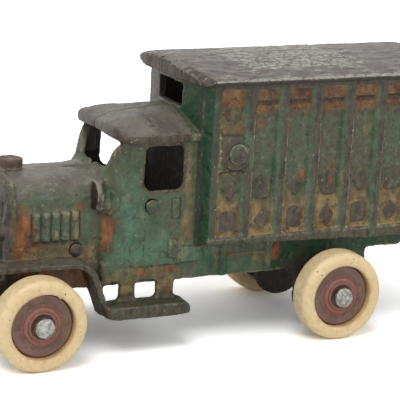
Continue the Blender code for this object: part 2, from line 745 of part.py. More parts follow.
def rail():
    tail_corner = REAR_AXLE + RAIL_BEHIND_AXLE
    outline = [
        (BUMPER_FRONT + BUMPER_THICKNESS / 2, RAIL_BOTTOM),
        (tail_corner, RAIL_BOTTOM),
        (tail_corner, TAIL_BOTTOM),
        (REAR_AXLE + TAIL_BEHIND_AXLE, TAIL_BOTTOM, WALL),
        (REAR_AXLE + TAIL_BEHIND_AXLE, VAN_FLOOR_TOP),
        (VAN_FRONT, VAN_FLOOR_TOP),
        (VAN_FRONT, RAIL_TOP + SINK),
        (RADIATOR_FRONT, RAIL_TOP + SINK),
        (RADIATOR_FRONT, BUMPER_TOP + WALL),
        (BUMPER_FRONT + BUMPER_THICKNESS / 2, BUMPER_TOP),
    ]
    return prism(outline, "x", RAIL_INNER, RAIL_HALF_WIDTH)


def mudguard():
    """A sheet over the front wheel that comes down behind it to the running board."""
    leg = GUARD_LEG_THICKNESS
    skin = GUARD_THICKNESS
    nose_bottom = GUARD_TOP - 3 * WALL
    outline = [
        (GUARD_FRONT - skin, nose_bottom),
        (GUARD_FRONT - skin, GUARD_TOP, 2 * WALL + skin),
        (GUARD_KNEE + leg, GUARD_TOP, 3 * WALL + skin),
        (GUARD_SHIN + leg, GUARD_SHIN_HEIGHT, 4 * WALL),
        (GUARD_FOOT + leg, BOARD_BOTTOM),
        (GUARD_FOOT, BOARD_BOTTOM),
        (GUARD_SHIN, GUARD_SHIN_HEIGHT, 4 * WALL),
        (GUARD_KNEE, GUARD_TOP - skin, 3 * WALL),
        (GUARD_FRONT, GUARD_TOP - skin, 2 * WALL),
        (GUARD_FRONT, nose_bottom),
    ]
    return prism(outline, "x", RAIL_INNER + SINK, GUARD_HALF_WIDTH)


def running_board():
    front = GUARD_FOOT + WALL / 4
    rear = VAN_FRONT - BOARD_END_AHEAD_OF_VAN
    outline = [
        (front, BOARD_BOTTOM),
        (rear, BOARD_BOTTOM, WALL / 2),
        (rear, BOARD_TOP, WALL),
        (front, BOARD_TOP),
    ]
    return prism(outline, "x", APRON_FACE - WALL, BOARD_HALF_WIDTH)


def apron_holes():
    """Front and rear of each opening between the running board and the cab, the last one open."""
    rear_strut_end = VAN_FRONT - APRON_INSET_END
    rear_strut_start = rear_strut_end - REAR_STRUT_WIDTH
    middle_hole_start = rear_strut_start - REAR_HOLE_LENGTH
    front_strut_start = middle_hole_start - FRONT_STRUT_WIDTH
    return [
        (GUARD_SHIN + GUARD_LEG_THICKNESS, front_strut_start),
        (middle_hole_start, rear_strut_start),
        (rear_strut_end, VAN_FRONT),
    ]


def apron():
    """The upright web under the cab: a top band, and struts between rounded openings."""
    first = GUARD_FOOT - SINK
    board_end = VAN_FRONT - BOARD_END_AHEAD_OF_VAN - WALL
    band_end = VAN_FRONT + SKIRT_FROM_VAN - WALL
    plate = [
        (first, BOARD_TOP - SINK),
        (board_end, BOARD_TOP - SINK),
        (board_end, HOLE_TOP),
        (band_end, HOLE_TOP),
        (band_end, RAIL_TOP + SINK),
        (first, RAIL_TOP + SINK),
    ]
    web = prism(plate, "x", APRON_FACE - WALL, APRON_FACE)
    low = BOARD_TOP + SINK / 2
    high = HOLE_TOP
    cutters = []
    for front, rear in apron_holes():
        corner = min(HOLE_CORNER, (rear - front) * 0.45)
        hole = [(front, low, corner), (rear, low, corner), (rear, high, corner), (front, high, corner)]
        cutters.append(prism(hole, "x", APRON_FACE - 2 * WALL, APRON_FACE + WALL))
    return without(web, cutters)


def tool_box():
    """The skirt under the van's front end, with a rim at each end."""
    front = VAN_FRONT - APRON_INSET_END / 2
    rear = VAN_FRONT + SKIRT_FROM_VAN
    inner = APRON_FACE - WALL
    floor = VAN_BOTTOM_FRONT + SINK
    panel = box((inner, front, SKIRT_BOTTOM), (APRON_FACE, rear, floor))
    solids = [panel]
    rim = WALL * 1.1
    for start in (VAN_FRONT + CORNER_POST * 2.6, rear - rim):
        outline = [
            (APRON_FACE - SINK, start),
            (APRON_FACE + RELIEF, start, RELIEF / 2),
            (APRON_FACE + RELIEF, start + rim, RELIEF / 2),
            (APRON_FACE - SINK, start + rim),
        ]
        solids.append(prism(outline, "z", SKIRT_BOTTOM - SINK, floor))
    return solids


def cab_sill():
    """Ledges that tie the rail to the cab side and to the tool box."""
    rear = VAN_FRONT + SKIRT_FROM_VAN
    front = COWL_FRONT + CAB_CORNER
    side = CAB_HALF_WIDTH - SINK
    ledge = box((RAIL_INNER + SINK, front, RAIL_TOP - WALL), (side, VAN_FRONT, RAIL_TOP))
    shelf_corner = (APRON_FACE - SINK, rear - SINK, RAIL_TOP)
    shelf = box((RAIL_INNER + SINK, VAN_FRONT - SINK, RAIL_TOP - WALL), shelf_corner)
    return [ledge, shelf]


def seat_box():
    """The low box at the rear foot of the cab side, with an arched top."""
    rear = VAN_FRONT + RELIEF
    front = rear - 4 * WALL
    outline = [
        (front, CAB_BOTTOM),
        (rear, CAB_BOTTOM, WALL / 4),
        (rear, VAN_BOTTOM_FRONT - RELIEF, WALL),
        (front, VAN_BOTTOM_FRONT - 1.5 * WALL),
    ]
    return prism(outline, "x", CAB_HALF_WIDTH - 2 * WALL, CAB_HALF_WIDTH + RELIEF / 2)


def door_lug():
    """A short upright lug low on the cab side."""
    rear = VAN_FRONT - APRON_INSET_END
    front = rear - WALL * 1.25
    outline = [
        (front, CAB_BOTTOM + WALL, WALL / 3),
        (rear, CAB_BOTTOM + WALL, WALL / 3),
        (rear, CAB_BOTTOM + 3.6 * WALL, WALL / 2),
        (front, CAB_BOTTOM + 3.6 * WALL, WALL / 2),
    ]
    return prism(outline, "x", CAB_HALF_WIDTH - SINK, CAB_HALF_WIDTH + RELIEF)


def bumper():
    outline = [
        (INNER, BUMPER_FRONT),
        (BUMPER_HALF_WIDTH, BUMPER_FRONT, BUMPER_THICKNESS / 2),
        (BUMPER_HALF_WIDTH, BUMPER_FRONT + BUMPER_THICKNESS),
        (INNER, BUMPER_FRONT + BUMPER_THICKNESS),
    ]
    return prism(outline, "z", BUMPER_BOTTOM, BUMPER_TOP)


def under_slot():
    """The open space between the rails, up through the floors of cab and van."""
    return box(
        (-SINK, COWL_FRONT + WALL, -SINK),
        (RAIL_INNER, VAN_REAR - WALL - RELIEF - SINK, VAN_FLOOR_TOP + SINK),
    )


# Rivets


def rivet_seats():
    """For each rivet its name, place along, height, outer face and head diameter."""
    van_face = VAN_HALF_WIDTH + BOSS_HEIGHT
    front_boss, rear_boss = boss_places()
    hood_place = FRONT_AXLE + HOOD_RIVET_BEHIND_AXLE
    cab_place = VAN_FRONT - CAB_RIVET_FROM_VAN
    return [
        ("hood_rivet", hood_place, HOOD_RIVET_HEIGHT, HOOD_HALF_WIDTH, HOOD_RIVET_HEAD),
        ("cab_rivet", cab_place, CAB_RIVET_HEIGHT, CAB_HALF_WIDTH, CAB_RIVET_HEAD),
        ("front_van_rivet", front_boss, VAN_RIVET_HEIGHT, van_face, VAN_RIVET_HEAD),
        ("rear_van_rivet", rear_boss, VAN_RIVET_HEIGHT, van_face, VAN_RIVET_HEAD),
    ]


def casting():
    """The +X casting in one piece."""
    solid = union([van_block(), van_roof()])
    solid = union([solid, cab_block(), cab_roof(), hood_block(), cowl_lug(), rail()])
    solid = without(solid, [van_void(), hood_void()])
    solid = without(solid, [cab_void()])
    solid = without(solid, [under_slot()])
    solid = without(solid, [hatch(), windshield(), side_window()])
    for cutters in side_panel_cutters():
        solid = without(solid, cutters)
    solid = without(solid, rear_door_cutters() + grille_cutters())
    solid = union([solid, mudguard(), running_board(), apron(), *cab_sill(), *tool_box()])
    ears = [prism(ear_outline(y), "x", RAIL_INNER, RAIL_HALF_WIDTH) for y in (FRONT_AXLE, REAR_AXLE)]
    solid = union([solid, gather(ears), seat_box(), door_lug(), bumper(), radiator_cap(), headlamp()])
    solid = union([solid, gather(louvres()), gather(side_ornaments())])
    bosses = [rod(y, VAN_RIVET_HEIGHT, BOSS_RADIUS, VAN_HALF_WIDTH - WALL, VAN_HALF_WIDTH + BOSS_HEIGHT, 24)
              for y in boss_places()]
    solid = union([solid, gather(bosses)])
    posts = []
    bores = []
    for _, y, z, face, _ in rivet_seats():
        posts.append(rod(y, z, POST_RADIUS, INNER, face - WALL / 2))
        bores.append(rod(y, z, RIVET_DIAMETER / 2 + CLEARANCE, -SINK, BIG))
    for y in (FRONT_AXLE, REAR_AXLE):
        bores.append(rod(y, AXLE_OVER_DATUM, AXLE_DIAMETER / 2 + CLEARANCE, -SINK, BIG))
    solid = union([solid, gather(posts)])
    return without(solid, bores)


# Turned pieces


def turned(name, profile, steps, closed):
    """A profile of (radius, height) points turned about local Z, then laid along X."""
    mesh = bpy.data.meshes.new(name)
    edges = [(index, index + 1) for index in range(len(profile) - 1)]
    if closed:
        edges.append((len(profile) - 1, 0))
    mesh.from_pydata([(radius, 0, height) for radius, height in profile], edges, [])
    holder = bpy.data.objects.new(name, mesh)
    bpy.context.scene.collection.objects.link(holder)
    screw = holder.modifiers.new("turn", "SCREW")
    screw.steps = steps
    screw.render_steps = steps
    screw.use_merge_vertices = True
    screw.merge_threshold = 0.000005
    # Half a step of turn puts a flat side, not an edge, at the bottom.
    lay_down = Matrix.Rotation(math.pi / 2, 4, "Y")
    holder.matrix_world = Matrix.Rotation(math.pi / steps, 4, "X") @ lay_down
    bpy.context.view_layer.update()
    return replace_by_mesh(holder, name)


def arc(centre_radius, centre_height, size, start, end, steps):
    """Profile points on a round corner, angles in degrees from the outward radius."""
    points = []
    for step in range(steps + 1):
        angle = math.radians(start + (end - start) * step / steps)
        points.append((centre_radius + size * math.cos(angle), centre_height + size * math.sin(angle)))
    return points


def tyre_profile():
    """Closed section of a tyre on a hub, its side walls bulging past the hub's faces."""
    flat = math.cos(math.pi / WHEEL_STEPS)
    outer = TYRE_DIAMETER / 2 / flat
    half = TYRE_WIDTH / 2
    seat = (HUB_DIAMETER / 2 + CLEARANCE) / flat
    lip = HUB_THICKNESS / 2
    shoulder = TYRE_SHOULDER
    right = arc(outer - shoulder, half - shoulder, shoulder, 0, 90, 4)
    upper_lip = (seat + shoulder / 5, half - shoulder / 5)
    half_section = [(seat, lip), upper_lip] + right[::-1]
    mirrored = [(radius, -height) for radius, height in reversed(half_section)]
    return half_section + mirrored


def hub_profile():
    """Closed section of a hub: a disc, a raised boss outside and a collar inside."""
    rim = HUB_DIAMETER / 2
    bore = AXLE_DIAMETER / 2 + CLEARANCE
    half = HUB_THICKNESS / 2
    boss = HUB_BOSS_DIAMETER / 2
    collar = HUB_COLLAR_DIAMETER / 2
    collar_end = -(TRACK / 2 - RAIL_HALF_WIDTH - CLEARANCE)
    chamfer = HUB_BOSS_HEIGHT / 2
    return [
        (bore, half + HUB_BOSS_HEIGHT),
        (boss - chamfer, half + HUB_BOSS_HEIGHT),
        (boss, half),
        (rim - chamfer, half),
        (rim, half - chamfer),
        (rim, -half + chamfer),
        (rim - chamfer, -half),
        (collar, -half),
        (collar, collar_end),
        (bore, collar_end),
    ]


def pin_profile(reach, shank, head, head_height):
    """A shank between two domed heads that start at plus and minus reach."""
    dome = []
    steps = 3
    for step in range(steps + 1):
        angle = math.pi / 2 * step / steps
        dome.append((head * math.sin(angle), reach + head_height * (0.35 + 0.65 * math.cos(angle))))
    upper = dome + [(head, reach), (shank, reach)]
    lower = [(radius, -height) for radius, height in reversed(upper)]
    return upper + lower


def place(obj, collection, material, origin=Vector()):
    """Files a finished piece in its collection, with its origin on its own axis."""
    obj.data.transform(Matrix.Translation(-origin) @ obj.matrix_world)
    obj.matrix_world = Matrix.Translation(origin)
    for holder in list(obj.users_collection):
        holder.objects.unlink(obj)
    collection.objects.link(obj)
    obj.data.materials.clear()
    obj.data.materials.append(material)
    return obj


def tidy(obj):
    """Merges flat neighbouring faces that the Booleans left split."""
    bm = bmesh.new()
    bm.from_mesh(obj.data)
    bmesh.ops.remove_doubles(bm, verts=bm.verts, dist=0.000004)
    bmesh.ops.dissolve_degenerate(bm, edges=bm.edges, dist=0.000002)
    bmesh.ops.dissolve_limit(
        bm, angle_limit=math.radians(0.3), verts=bm.verts, edges=bm.edges, use_dissolve_boundaries=False
    )
    bm.to_mesh(obj.data)
    bm.free()


def build_castings(collection, paint):
    left = casting()
    left.name = "left_body_half"
    left.data.name = left.name
    tidy(left)
    left.data.transform(Matrix.Translation((0, 0, LIFT)))
    place(left, collection, paint)
    right = left.copy()
    right.data = left.data.copy()
    right.name = "right_body_half"
    right.data.name = right.name
    right.data.transform(Matrix.Scale(-1, 4, (1, 0, 0)))
    right.data.flip_normals()
    collection.objects.link(right)


def build_rivets(collection, iron, paint):
    for name, y, z, face, head in rivet_seats():
        profile = pin_profile(face + CLEARANCE, RIVET_DIAMETER / 2, head / 2, RIVET_HEAD_HEIGHT)
        rivet = turned(name, profile, PIN_STEPS, closed=False)
        centre = Vector((0, y, z + LIFT))
        rivet.data.transform(Matrix.Translation(centre))
        material = iron if name == "hood_rivet" else paint
        place(rivet, collection, material, centre)


def build_running_gear(collection, steel, hub_paint, rubber):
    head_reach = TRACK / 2 + HUB_THICKNESS / 2 + HUB_BOSS_HEIGHT + CLEARANCE
    for end, axle_y in (("front", FRONT_AXLE), ("rear", REAR_AXLE)):
        centre = Vector((0, axle_y, AXLE_HEIGHT))
        profile = pin_profile(head_reach, AXLE_DIAMETER / 2, AXLE_HEAD_DIAMETER / 2, AXLE_HEAD_HEIGHT)
        axle = turned(end + "_axle", profile, PIN_STEPS, closed=False)
        axle.data.transform(Matrix.Translation(centre))
        place(axle, collection, steel, centre)
        for side, sign in (("left", 1), ("right", -1)):
            wheel_centre = centre + Vector((sign * TRACK / 2, 0, 0))
            facing = Matrix.Translation(wheel_centre) @ Matrix.Rotation(0 if sign > 0 else math.pi, 4, "Z")
            hub = turned(f"{end}_{side}_hub", hub_profile(), WHEEL_STEPS, closed=True)
            hub.data.transform(facing)
            place(hub, collection, hub_paint, wheel_centre)
            tyre = turned(f"{end}_{side}_tyre", tyre_profile(), WHEEL_STEPS, closed=True)
            tyre.data.transform(facing)
            place(tyre, collection, rubber, wheel_centre)


def shade(collection):
    for obj in collection.objects:
        obj.data.shade_smooth()
        obj.data.set_sharp_from_angle(angle=math.radians(32))


def main():
    clear_scene()
    collection = make_collection("toy_delivery_truck")
    green = make_material("green_paint_on_iron", (0.085, 0.150, 0.105), 0.45, 0.0)
    iron = make_material("worn_cast_iron", (0.110, 0.085, 0.078), 0.55, 0.6)
    steel = make_material("peened_steel", (0.420, 0.420, 0.390), 0.40, 1.0)
    maroon = make_material("maroon_hub_paint", (0.140, 0.070, 0.062), 0.50, 0.0)
    rubber = make_material("cream_rubber", (0.730, 0.560, 0.300), 0.50, 0.0)
    build_castings(collection, green)
    build_rivets(collection, iron, green)
    build_running_gear(collection, steel, maroon, rubber)
    shade(collection)


main()
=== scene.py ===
"""Looks of a cast iron toy delivery truck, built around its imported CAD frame.

Blender's units are metres. The truck faces -Y, its left side is +X and it stands on Z = 0.
Sizes and vertex positions are worked on in millimetres, and MM turns them to metres.
"""

import math

import bmesh
import bpy
import numpy as np
from mathutils import Matrix, Vector, noise


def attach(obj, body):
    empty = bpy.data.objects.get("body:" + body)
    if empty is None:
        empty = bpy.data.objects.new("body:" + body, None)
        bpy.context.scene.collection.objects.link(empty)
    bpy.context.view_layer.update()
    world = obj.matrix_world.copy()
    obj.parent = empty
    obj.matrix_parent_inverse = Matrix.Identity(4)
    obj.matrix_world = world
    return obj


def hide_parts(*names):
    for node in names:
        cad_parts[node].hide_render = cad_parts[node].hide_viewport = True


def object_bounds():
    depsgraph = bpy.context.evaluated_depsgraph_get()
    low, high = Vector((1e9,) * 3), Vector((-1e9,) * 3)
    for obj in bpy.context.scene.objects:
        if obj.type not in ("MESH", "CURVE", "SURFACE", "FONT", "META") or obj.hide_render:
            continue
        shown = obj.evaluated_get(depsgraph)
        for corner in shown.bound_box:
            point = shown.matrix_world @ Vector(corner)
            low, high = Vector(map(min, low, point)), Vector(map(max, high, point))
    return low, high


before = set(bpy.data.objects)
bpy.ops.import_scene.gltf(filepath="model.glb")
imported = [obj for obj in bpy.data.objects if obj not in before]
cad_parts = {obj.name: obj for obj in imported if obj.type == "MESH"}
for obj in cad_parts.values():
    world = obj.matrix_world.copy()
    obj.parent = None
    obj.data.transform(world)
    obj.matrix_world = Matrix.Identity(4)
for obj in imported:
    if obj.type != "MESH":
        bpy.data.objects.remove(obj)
cad_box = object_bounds()

MM = 0.001

# Body: two mirrored grey iron castings, left and right, that meet on the centre plane.
# They were poured in sand, so every edge is soft and every face a little uneven, then
# dipped in green over an orange primer and worn back to the brown iron by play.
SAND_GRAIN = 0.31               # size of the cells that the casting's surface is built from
FACE_LIMIT = 190000             # triangles in one half
RIPPLE = 0.13                   # unevenness of the faces over about 5 mm
PITTING = 0.055                 # and over about 1 mm
PIT_DEPTH = 0.10                # of the single pits
ROOF_SCALE = 0.10               # depth of the flaked patches on the van's roof
SEAM = 0.006                    # from each half's inner face to the centre plane

PANEL_COUNT = 7                 # sunken panels in the van's side
FIRST_PANEL = -2.9              # front edge of the first
PANEL_PITCH = 10.357
PANEL_WIDTH = 7.357
FLANK = 1.0                     # how far a rib's front flank slopes
HEAD_SLOT = (67.5, 68.9)        # bottom and top of the slot in each panel's head
FRONT_BOSS = (2.1, 54.8)        # middle of the round boss in the first panel, y and z
ROOF_FRONT = -12.5              # front edge of the van's roof, in its middle
ROOF_BOW = 3.8                  # how far that edge runs back at its corners
ROOF_REACH = 20.6               # from the centre plane to those corners
CAB_ROOF_FRONT = -30.6          # front edge of the cab's roof, at its corners
CAB_ROOF_BOW = 1.3              # how far that edge stands forward in its middle
CAB_ROOF_REACH = 16.9
WINDOW = (-22.6, -11.2, 44.6, 56.7)     # front, rear, bottom and top of the cab's window
CAB_ROOF_LINES = (0.16, 0.10)   # depth of the line inside its front and its side edge
SADDLE_DROP = 1.1               # how far the cowl sinks under the windscreen
COWL_HOLLOW = 1.0               # depth of the hollow behind the lug
ROOF_ROLL = 0.9                 # how far the van roof's front edge is rolled down
ROOF_CREASE = 0.22              # depth of the crease behind it
PAD_HEIGHT = 0.5                # of the round pad on the cowl's corner
LOUVRE_START = -53.7            # front edge of the first of five louvres
LOUVRE_PITCH = 2.76
LOUVRE_SINK = 0.90              # how far the gaps lie in the hood's side
LOUVRE_RISE = 1.20              # how far the ridges stand out of the gaps
SWELLING = (12.6, -35.7, 43.9)  # middle of the round swelling behind the lug
SWELLING_RADIUS = 4.0
SWELLING_DEPTH = 2.0


def add_block(bm, low, high, soften=0.0):
    """A box between two corners in millimetres, its edges softened."""
    made = bmesh.ops.create_cube(bm, size=1)["verts"]
    size = [(b - a) * MM for a, b in zip(low, high)]
    middle = [(a + b) / 2 * MM for a, b in zip(low, high)]
    bmesh.ops.transform(bm, matrix=Matrix.Translation(middle) @ Matrix.Diagonal((*size, 1)), verts=made)
    if soften:
        edges = list({edge for vert in made for edge in vert.link_edges})
        bmesh.ops.bevel(bm, geom=edges, offset=soften * MM, offset_type="OFFSET", affect="EDGES",
                        segments=2, profile=0.5, material=-1)


def new_piece(name, bm):
    """A mesh object from a bmesh, standing at the origin."""
    mesh = bpy.data.meshes.new(name)
    bm.to_mesh(mesh)
    bm.free()
    piece = bpy.data.objects.new(name, mesh)
    bpy.context.scene.collection.objects.link(piece)
    return piece


def apply_modifiers(piece):
    """Replaces the piece's mesh by what its modifiers make of it."""
    depsgraph = bpy.context.evaluated_depsgraph_get()
    mesh = bpy.data.meshes.new_from_object(piece.evaluated_get(depsgraph))
    piece.modifiers.clear()
    piece.data = mesh
    mesh.name = piece.name


# Grooves, cut into the casting: a slot in the head of each sunken panel but the first, the
# door's front edge in three strokes, and a line along the sill and up behind the door.
grooves = bmesh.new()
for column in range(1, PANEL_COUNT):
    start = FIRST_PANEL + column * PANEL_PITCH
    low = (19.15, start + 0.7, HEAD_SLOT[0])
    high = (20.2, start + PANEL_WIDTH - 0.5, HEAD_SLOT[1])
    add_block(grooves, low, high, 0.15)
for low, high in (
    ((15.25, -22.3, 24.2), (16.4, -21.9, 28.9)),
    ((15.25, -22.3, 29.6), (16.4, -21.9, 33.2)),
    ((15.25, -22.3, 34.0), (16.4, -21.9, 37.6)),
    ((15.1, -25.9, 23.2), (16.6, -5.2, 23.7)),
    ((15.1, -5.1, 23.2), (16.6, -4.6, 28.3)),
):
    add_block(grooves, low, high)
groove_tool = new_piece("groove_tool", grooves)

body = bmesh.new()
body.from_mesh(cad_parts["left_body_half"].data)
bmesh.ops.remove_doubles(body, verts=body.verts, dist=0.001 * MM)
left_half = new_piece("left_casting", body)
cut = left_half.modifiers.new("grooves", "BOOLEAN")
cut.operation = "DIFFERENCE"
cut.solver = "EXACT"
cut.object = groove_tool
bpy.context.view_layer.update()
apply_modifiers(left_half)
bpy.data.objects.remove(groove_tool, do_unlink=True)

# Raised work: the plate by the door's catch, the arched box at the door's foot, the strip
# across the tool box and the round swelling. The remesh melts all of it into one skin.
body = bmesh.new()
body.from_mesh(left_half.data)
for low, high, soften in (
    ((15.4, -14.2, 36.6), (16.3, -11.9, 42.0), 0.3),
    ((15.3, -11.3, 23.8), (16.0, -5.3, 28.0), 0.35),
    ((15.3, 3.4, 24.2), (16.0, 15.2, 24.9), 0.2),
):
    add_block(body, low, high, soften)
swelling_place = Matrix.Translation([size * MM for size in SWELLING]) @ Matrix.Rotation(math.pi / 2, 4, "X")
bmesh.ops.create_cone(body, cap_ends=True, segments=40, radius1=SWELLING_RADIUS * MM,
                      radius2=SWELLING_RADIUS * MM, depth=SWELLING_DEPTH * MM, matrix=swelling_place)
body.to_mesh(left_half.data)
body.free()

remesh = left_half.modifiers.new("sand", "REMESH")
remesh.mode = "VOXEL"
remesh.voxel_size = SAND_GRAIN * MM
remesh.adaptivity = 0.0
apply_modifiers(left_half)


def coordinates(mesh):
    """The mesh's vertex positions, in millimetres, and its vertex normals."""
    points = np.empty(len(mesh.vertices) * 3, np.float32)
    normals = np.empty(len(mesh.vertices) * 3, np.float32)
    mesh.vertices.foreach_get("co", points)
    mesh.vertices.foreach_get("normal", normals)
    return points.reshape(-1, 3).astype(float) / MM, normals.reshape(-1, 3).astype(float)


def edge_pairs(mesh):
    """The two vertices of each edge."""
    pairs = np.empty(len(mesh.edges) * 2, np.int32)
    mesh.edges.foreach_get("vertices", pairs)
    return pairs.reshape(-1, 2)


def relaxed(values, pairs, rounds, share=None):
    """Values drawn halfway to their neighbours' average a number of times, where share is 1."""
    if share is None:
        return relaxed_by(values, pairs, rounds, 1.0)
    inside = share > 0.01
    new_number = np.cumsum(inside) - 1
    kept = pairs[inside[pairs].all(axis=1)]
    result = values.copy()
    result[inside] = relaxed_by(values[inside], new_number[kept], rounds, share[inside][:, None])
    return result


def relaxed_by(values, pairs, rounds, share):
    """The relaxing itself, of all the values that it is given."""
    count = len(values)
    a, b = pairs[:, 0], pairs[:, 1]
    degree = np.maximum(np.bincount(a, minlength=count) + np.bincount(b, minlength=count), 1)
    result = values.copy()
    for _ in range(rounds):
        total = np.empty_like(result)
        for axis in range(result.shape[1]):
            channel = result[:, axis]
            total[:, axis] = np.bincount(a, channel[b], count) + np.bincount(b, channel[a], count)
        result += 0.5 * share * (total / degree[:, None] - result)
    return result


def set_points(mesh, points):
    """Writes vertex positions in millimetres, and keeps them inside the CAD's box."""
    inside_box = np.clip(points * MM, cad_box[0], cad_box[1])
    mesh.vertices.foreach_set("co", inside_box.astype(np.float32).ravel())
    mesh.update()


def step_up(value, low, high):
    """0 below low, 1 above high, smooth between."""
    share = np.clip((value - low) / (high - low), 0, 1)
    return share * share * (3 - 2 * share)


def step_down(value, low, high):
    """1 below low, 0 above high, smooth between."""
    return 1 - step_up(value, low, high)


def between(value, low, high, soft=0.4):
    """1 from low to high and 0 outside, with soft ends."""
    return step_up(value, low - soft, low + soft) * step_down(value, high - soft, high + soft)


def line_at(value, middle, reach):
    """A soft line: 1 in its middle, and hardly anything two reaches away."""
    return np.exp(-((value - middle) / reach) ** 2)


def behind_roof_front(x, y):
    """How far a point lies behind the bowed front edge of the van's roof."""
    return y - (ROOF_FRONT + ROOF_BOW * np.clip(x / ROOF_REACH, 0, 1) ** 3)


def lumps(points, size, seed):
    """Smooth noise about size millimetres across, from about -1 to 1."""
    shift = Vector((seed * 7.1, seed * 3.3, seed * 1.7))
    return np.array([noise.noise(Vector(point) / size + shift) for point in points]) * 1.6


points, normals = coordinates(left_half.data)
pairs = edge_pairs(left_half.data)
points = relaxed(points, pairs, rounds=3)

# Where the hood runs up into the cab the two were filleted in the pattern, but not at the
# lug, and the front of the cab's roof is a thick soft roll.
x, y, z = points.T
fillet = between(y, -40.5, -31.0, 1.5) * between(z, 46.2, 54.0, 1.2)
fillet *= 1 - between(y, -37.4, -33.4, 0.5) * between(x, 12.0, 16.9, 0.4) * step_down(z, 47.6, 48.4)
points[:, 2] -= (
    SADDLE_DROP * step_up(-y, 31.2, 33.8) * step_down(-y, 35.4, 36.0)
    * step_up(z, 48.6, 49.8) * step_down(z, 51.5, 52.5)
)
points = relaxed(points, pairs, rounds=90, share=fillet)
roll = step_down(y, -28.6, -26.6) * step_up(z, 56.8, 57.8)
points = relaxed(points, pairs, rounds=28, share=roll)

# The mudguard runs into the running board in one soft bend, and the board's end is round.
x, y, z = points.T
bend = step_up(x, 14.5, 15.5) * step_down(z, 14.4, 15.4)
board_end = bend * step_up(y, -14.0, -12.0) * step_down(y, -7.0, -6.0)
points = relaxed(points, pairs, rounds=45, share=bend * step_down(y, -32.5, -30.5))
points = relaxed(points, pairs, rounds=16, share=board_end)

# The front flank of each rib slopes down into the panel before it, for the pattern's draft,
# but not beside the block in the first panel. The inner faces close up on the centre plane.
x, y, z = points.T
along = np.mod(y - FIRST_PANEL, PANEL_PITCH)
on_flank = between(z, 31.7, 71.7, 0.3) * (x > 19.5) * (y > FIRST_PANEL) * (y < 68.9)
on_flank *= (
    step_up(along, PANEL_WIDTH - 0.4, PANEL_WIDTH - 0.05)
    * np.clip(1 - (along - PANEL_WIDTH) / 2.2, 0, 1)
)
on_flank *= 1 - between(z, 48.9, 60.7, 0.4) * (y < 8.0)
points[:, 1] += FLANK * on_flank * np.clip(x - 19.6, 0, 1)
points[:, 0] -= (x - SEAM) * step_down(x, 0.35, 0.9)

# A shallow line runs round the cab roof just inside its edge.
x, y, z = points.T
front_edge = CAB_ROOF_FRONT - CAB_ROOF_BOW * (1 - (x / CAB_ROOF_REACH) ** 2)
on_cab_roof = step_up(z, 58.4, 59.2) * step_down(y, -9.8, -9.2) * step_up(normals[:, 2], 0.2, 0.6)
front_line = line_at(y - front_edge, 3.1, 0.55)
side_line = line_at(x, 15.2, 0.6) * step_up(y - front_edge, 2.6, 3.6)
points[:, 2] -= on_cab_roof * (CAB_ROOF_LINES[0] * front_line + CAB_ROOF_LINES[1] * side_line)

# Behind the lug the cowl's corner is hollowed, and the van roof's front edge is rolled
# down over a shallow crease.
x, y, z = points.T
points[:, 0] -= COWL_HOLLOW * line_at(y, -33.2, 1.0) * between(z, 43.0, 51.0, 1.5) * step_up(x, 12.8, 13.8)
behind = behind_roof_front(x, y)
turned_down = step_up(z, 73.6, 74.2) * step_up(normals[:, 2], 0.0, 0.4)
points[:, 2] -= turned_down * (
    ROOF_ROLL * step_down(behind, 0.0, 3.0) ** 1.5 + ROOF_CREASE * line_at(behind, 3.2, 0.5)
)

# The round pad on the cowl's corner stands proud of the cab.
pad = step_down(np.hypot(y + 33.2, z - 42.0), 3.2, 3.55)
pad *= step_up(normals[:, 0], 0.15, 0.45) * step_up(x, 11.5, 12.5) * step_up(y, -36.0, -35.2)
points[:, 0] += PAD_HEIGHT * pad

# The louvres are five rounded ridges with a sharp gap between each two.
x, y, z = points.T
on_louvres = between(z, 31.9, 39.6, 0.3) * between(y, -53.8, -39.8, 0.2) * step_up(x, 12.2, 12.5)
from_ridge = np.mod(y - LOUVRE_START, LOUVRE_PITCH) - LOUVRE_PITCH / 2
ridge = np.sqrt(np.clip(1 - (from_ridge / (0.52 * LOUVRE_PITCH)) ** 2, 0, 1))
points[:, 0] += on_louvres * (LOUVRE_RISE * ridge - LOUVRE_SINK)

# The sand left its grain on every face, and the roof's paint flaked off in scales. The
# skin by the seam stays flat.
outward = relaxed(normals, pairs, rounds=3)
outward /= np.linalg.norm(outward, axis=1)[:, None]
off_seam = step_up(points[:, 0], 0.4, 1.6)
x, y, z = points.T
on_van_roof = step_up(z, 73.9, 74.4) * step_up(outward[:, 2], 0.3, 0.7)
broad = lumps(points, size=5.0, seed=0)
fine = lumps(points, size=1.4, seed=1)
flakes = lumps(points * (1.0, 0.6, 1.0), size=1.5, seed=2)
depth = broad * RIPPLE + fine * PITTING
depth -= ROOF_SCALE * on_van_roof * step_up(flakes, 0.05, 0.35)
depth -= PIT_DEPTH * step_up(-fine, 0.55, 0.9) * (1 - on_van_roof)
points += outward * (depth * off_seam)[:, None]
set_points(left_half.data, points)

thin = left_half.modifiers.new("thin", "DECIMATE")
quads = len(left_half.data.polygons)
thin.ratio = min(1.0, FACE_LIMIT / (2 * quads))
apply_modifiers(left_half)


def stands_out(mesh, rounds=10):
    """How far each vertex stands out of (+) or lies in (-) its surroundings, in mm."""
    points, normals = coordinates(mesh)
    smooth = relaxed(points, edge_pairs(mesh), rounds)
    return np.einsum("ij,ij->i", points - smooth, normals)


def store(mesh, name, values):
    """Stores an attribute that a material reads: a value per vertex, or one for all."""
    attribute = mesh.attributes.get(name) or mesh.attributes.new(name, "FLOAT", "POINT")
    every = np.clip(np.broadcast_to(values, len(mesh.vertices)), 0, 1)
    attribute.data.foreach_set("value", every.astype(np.float32))


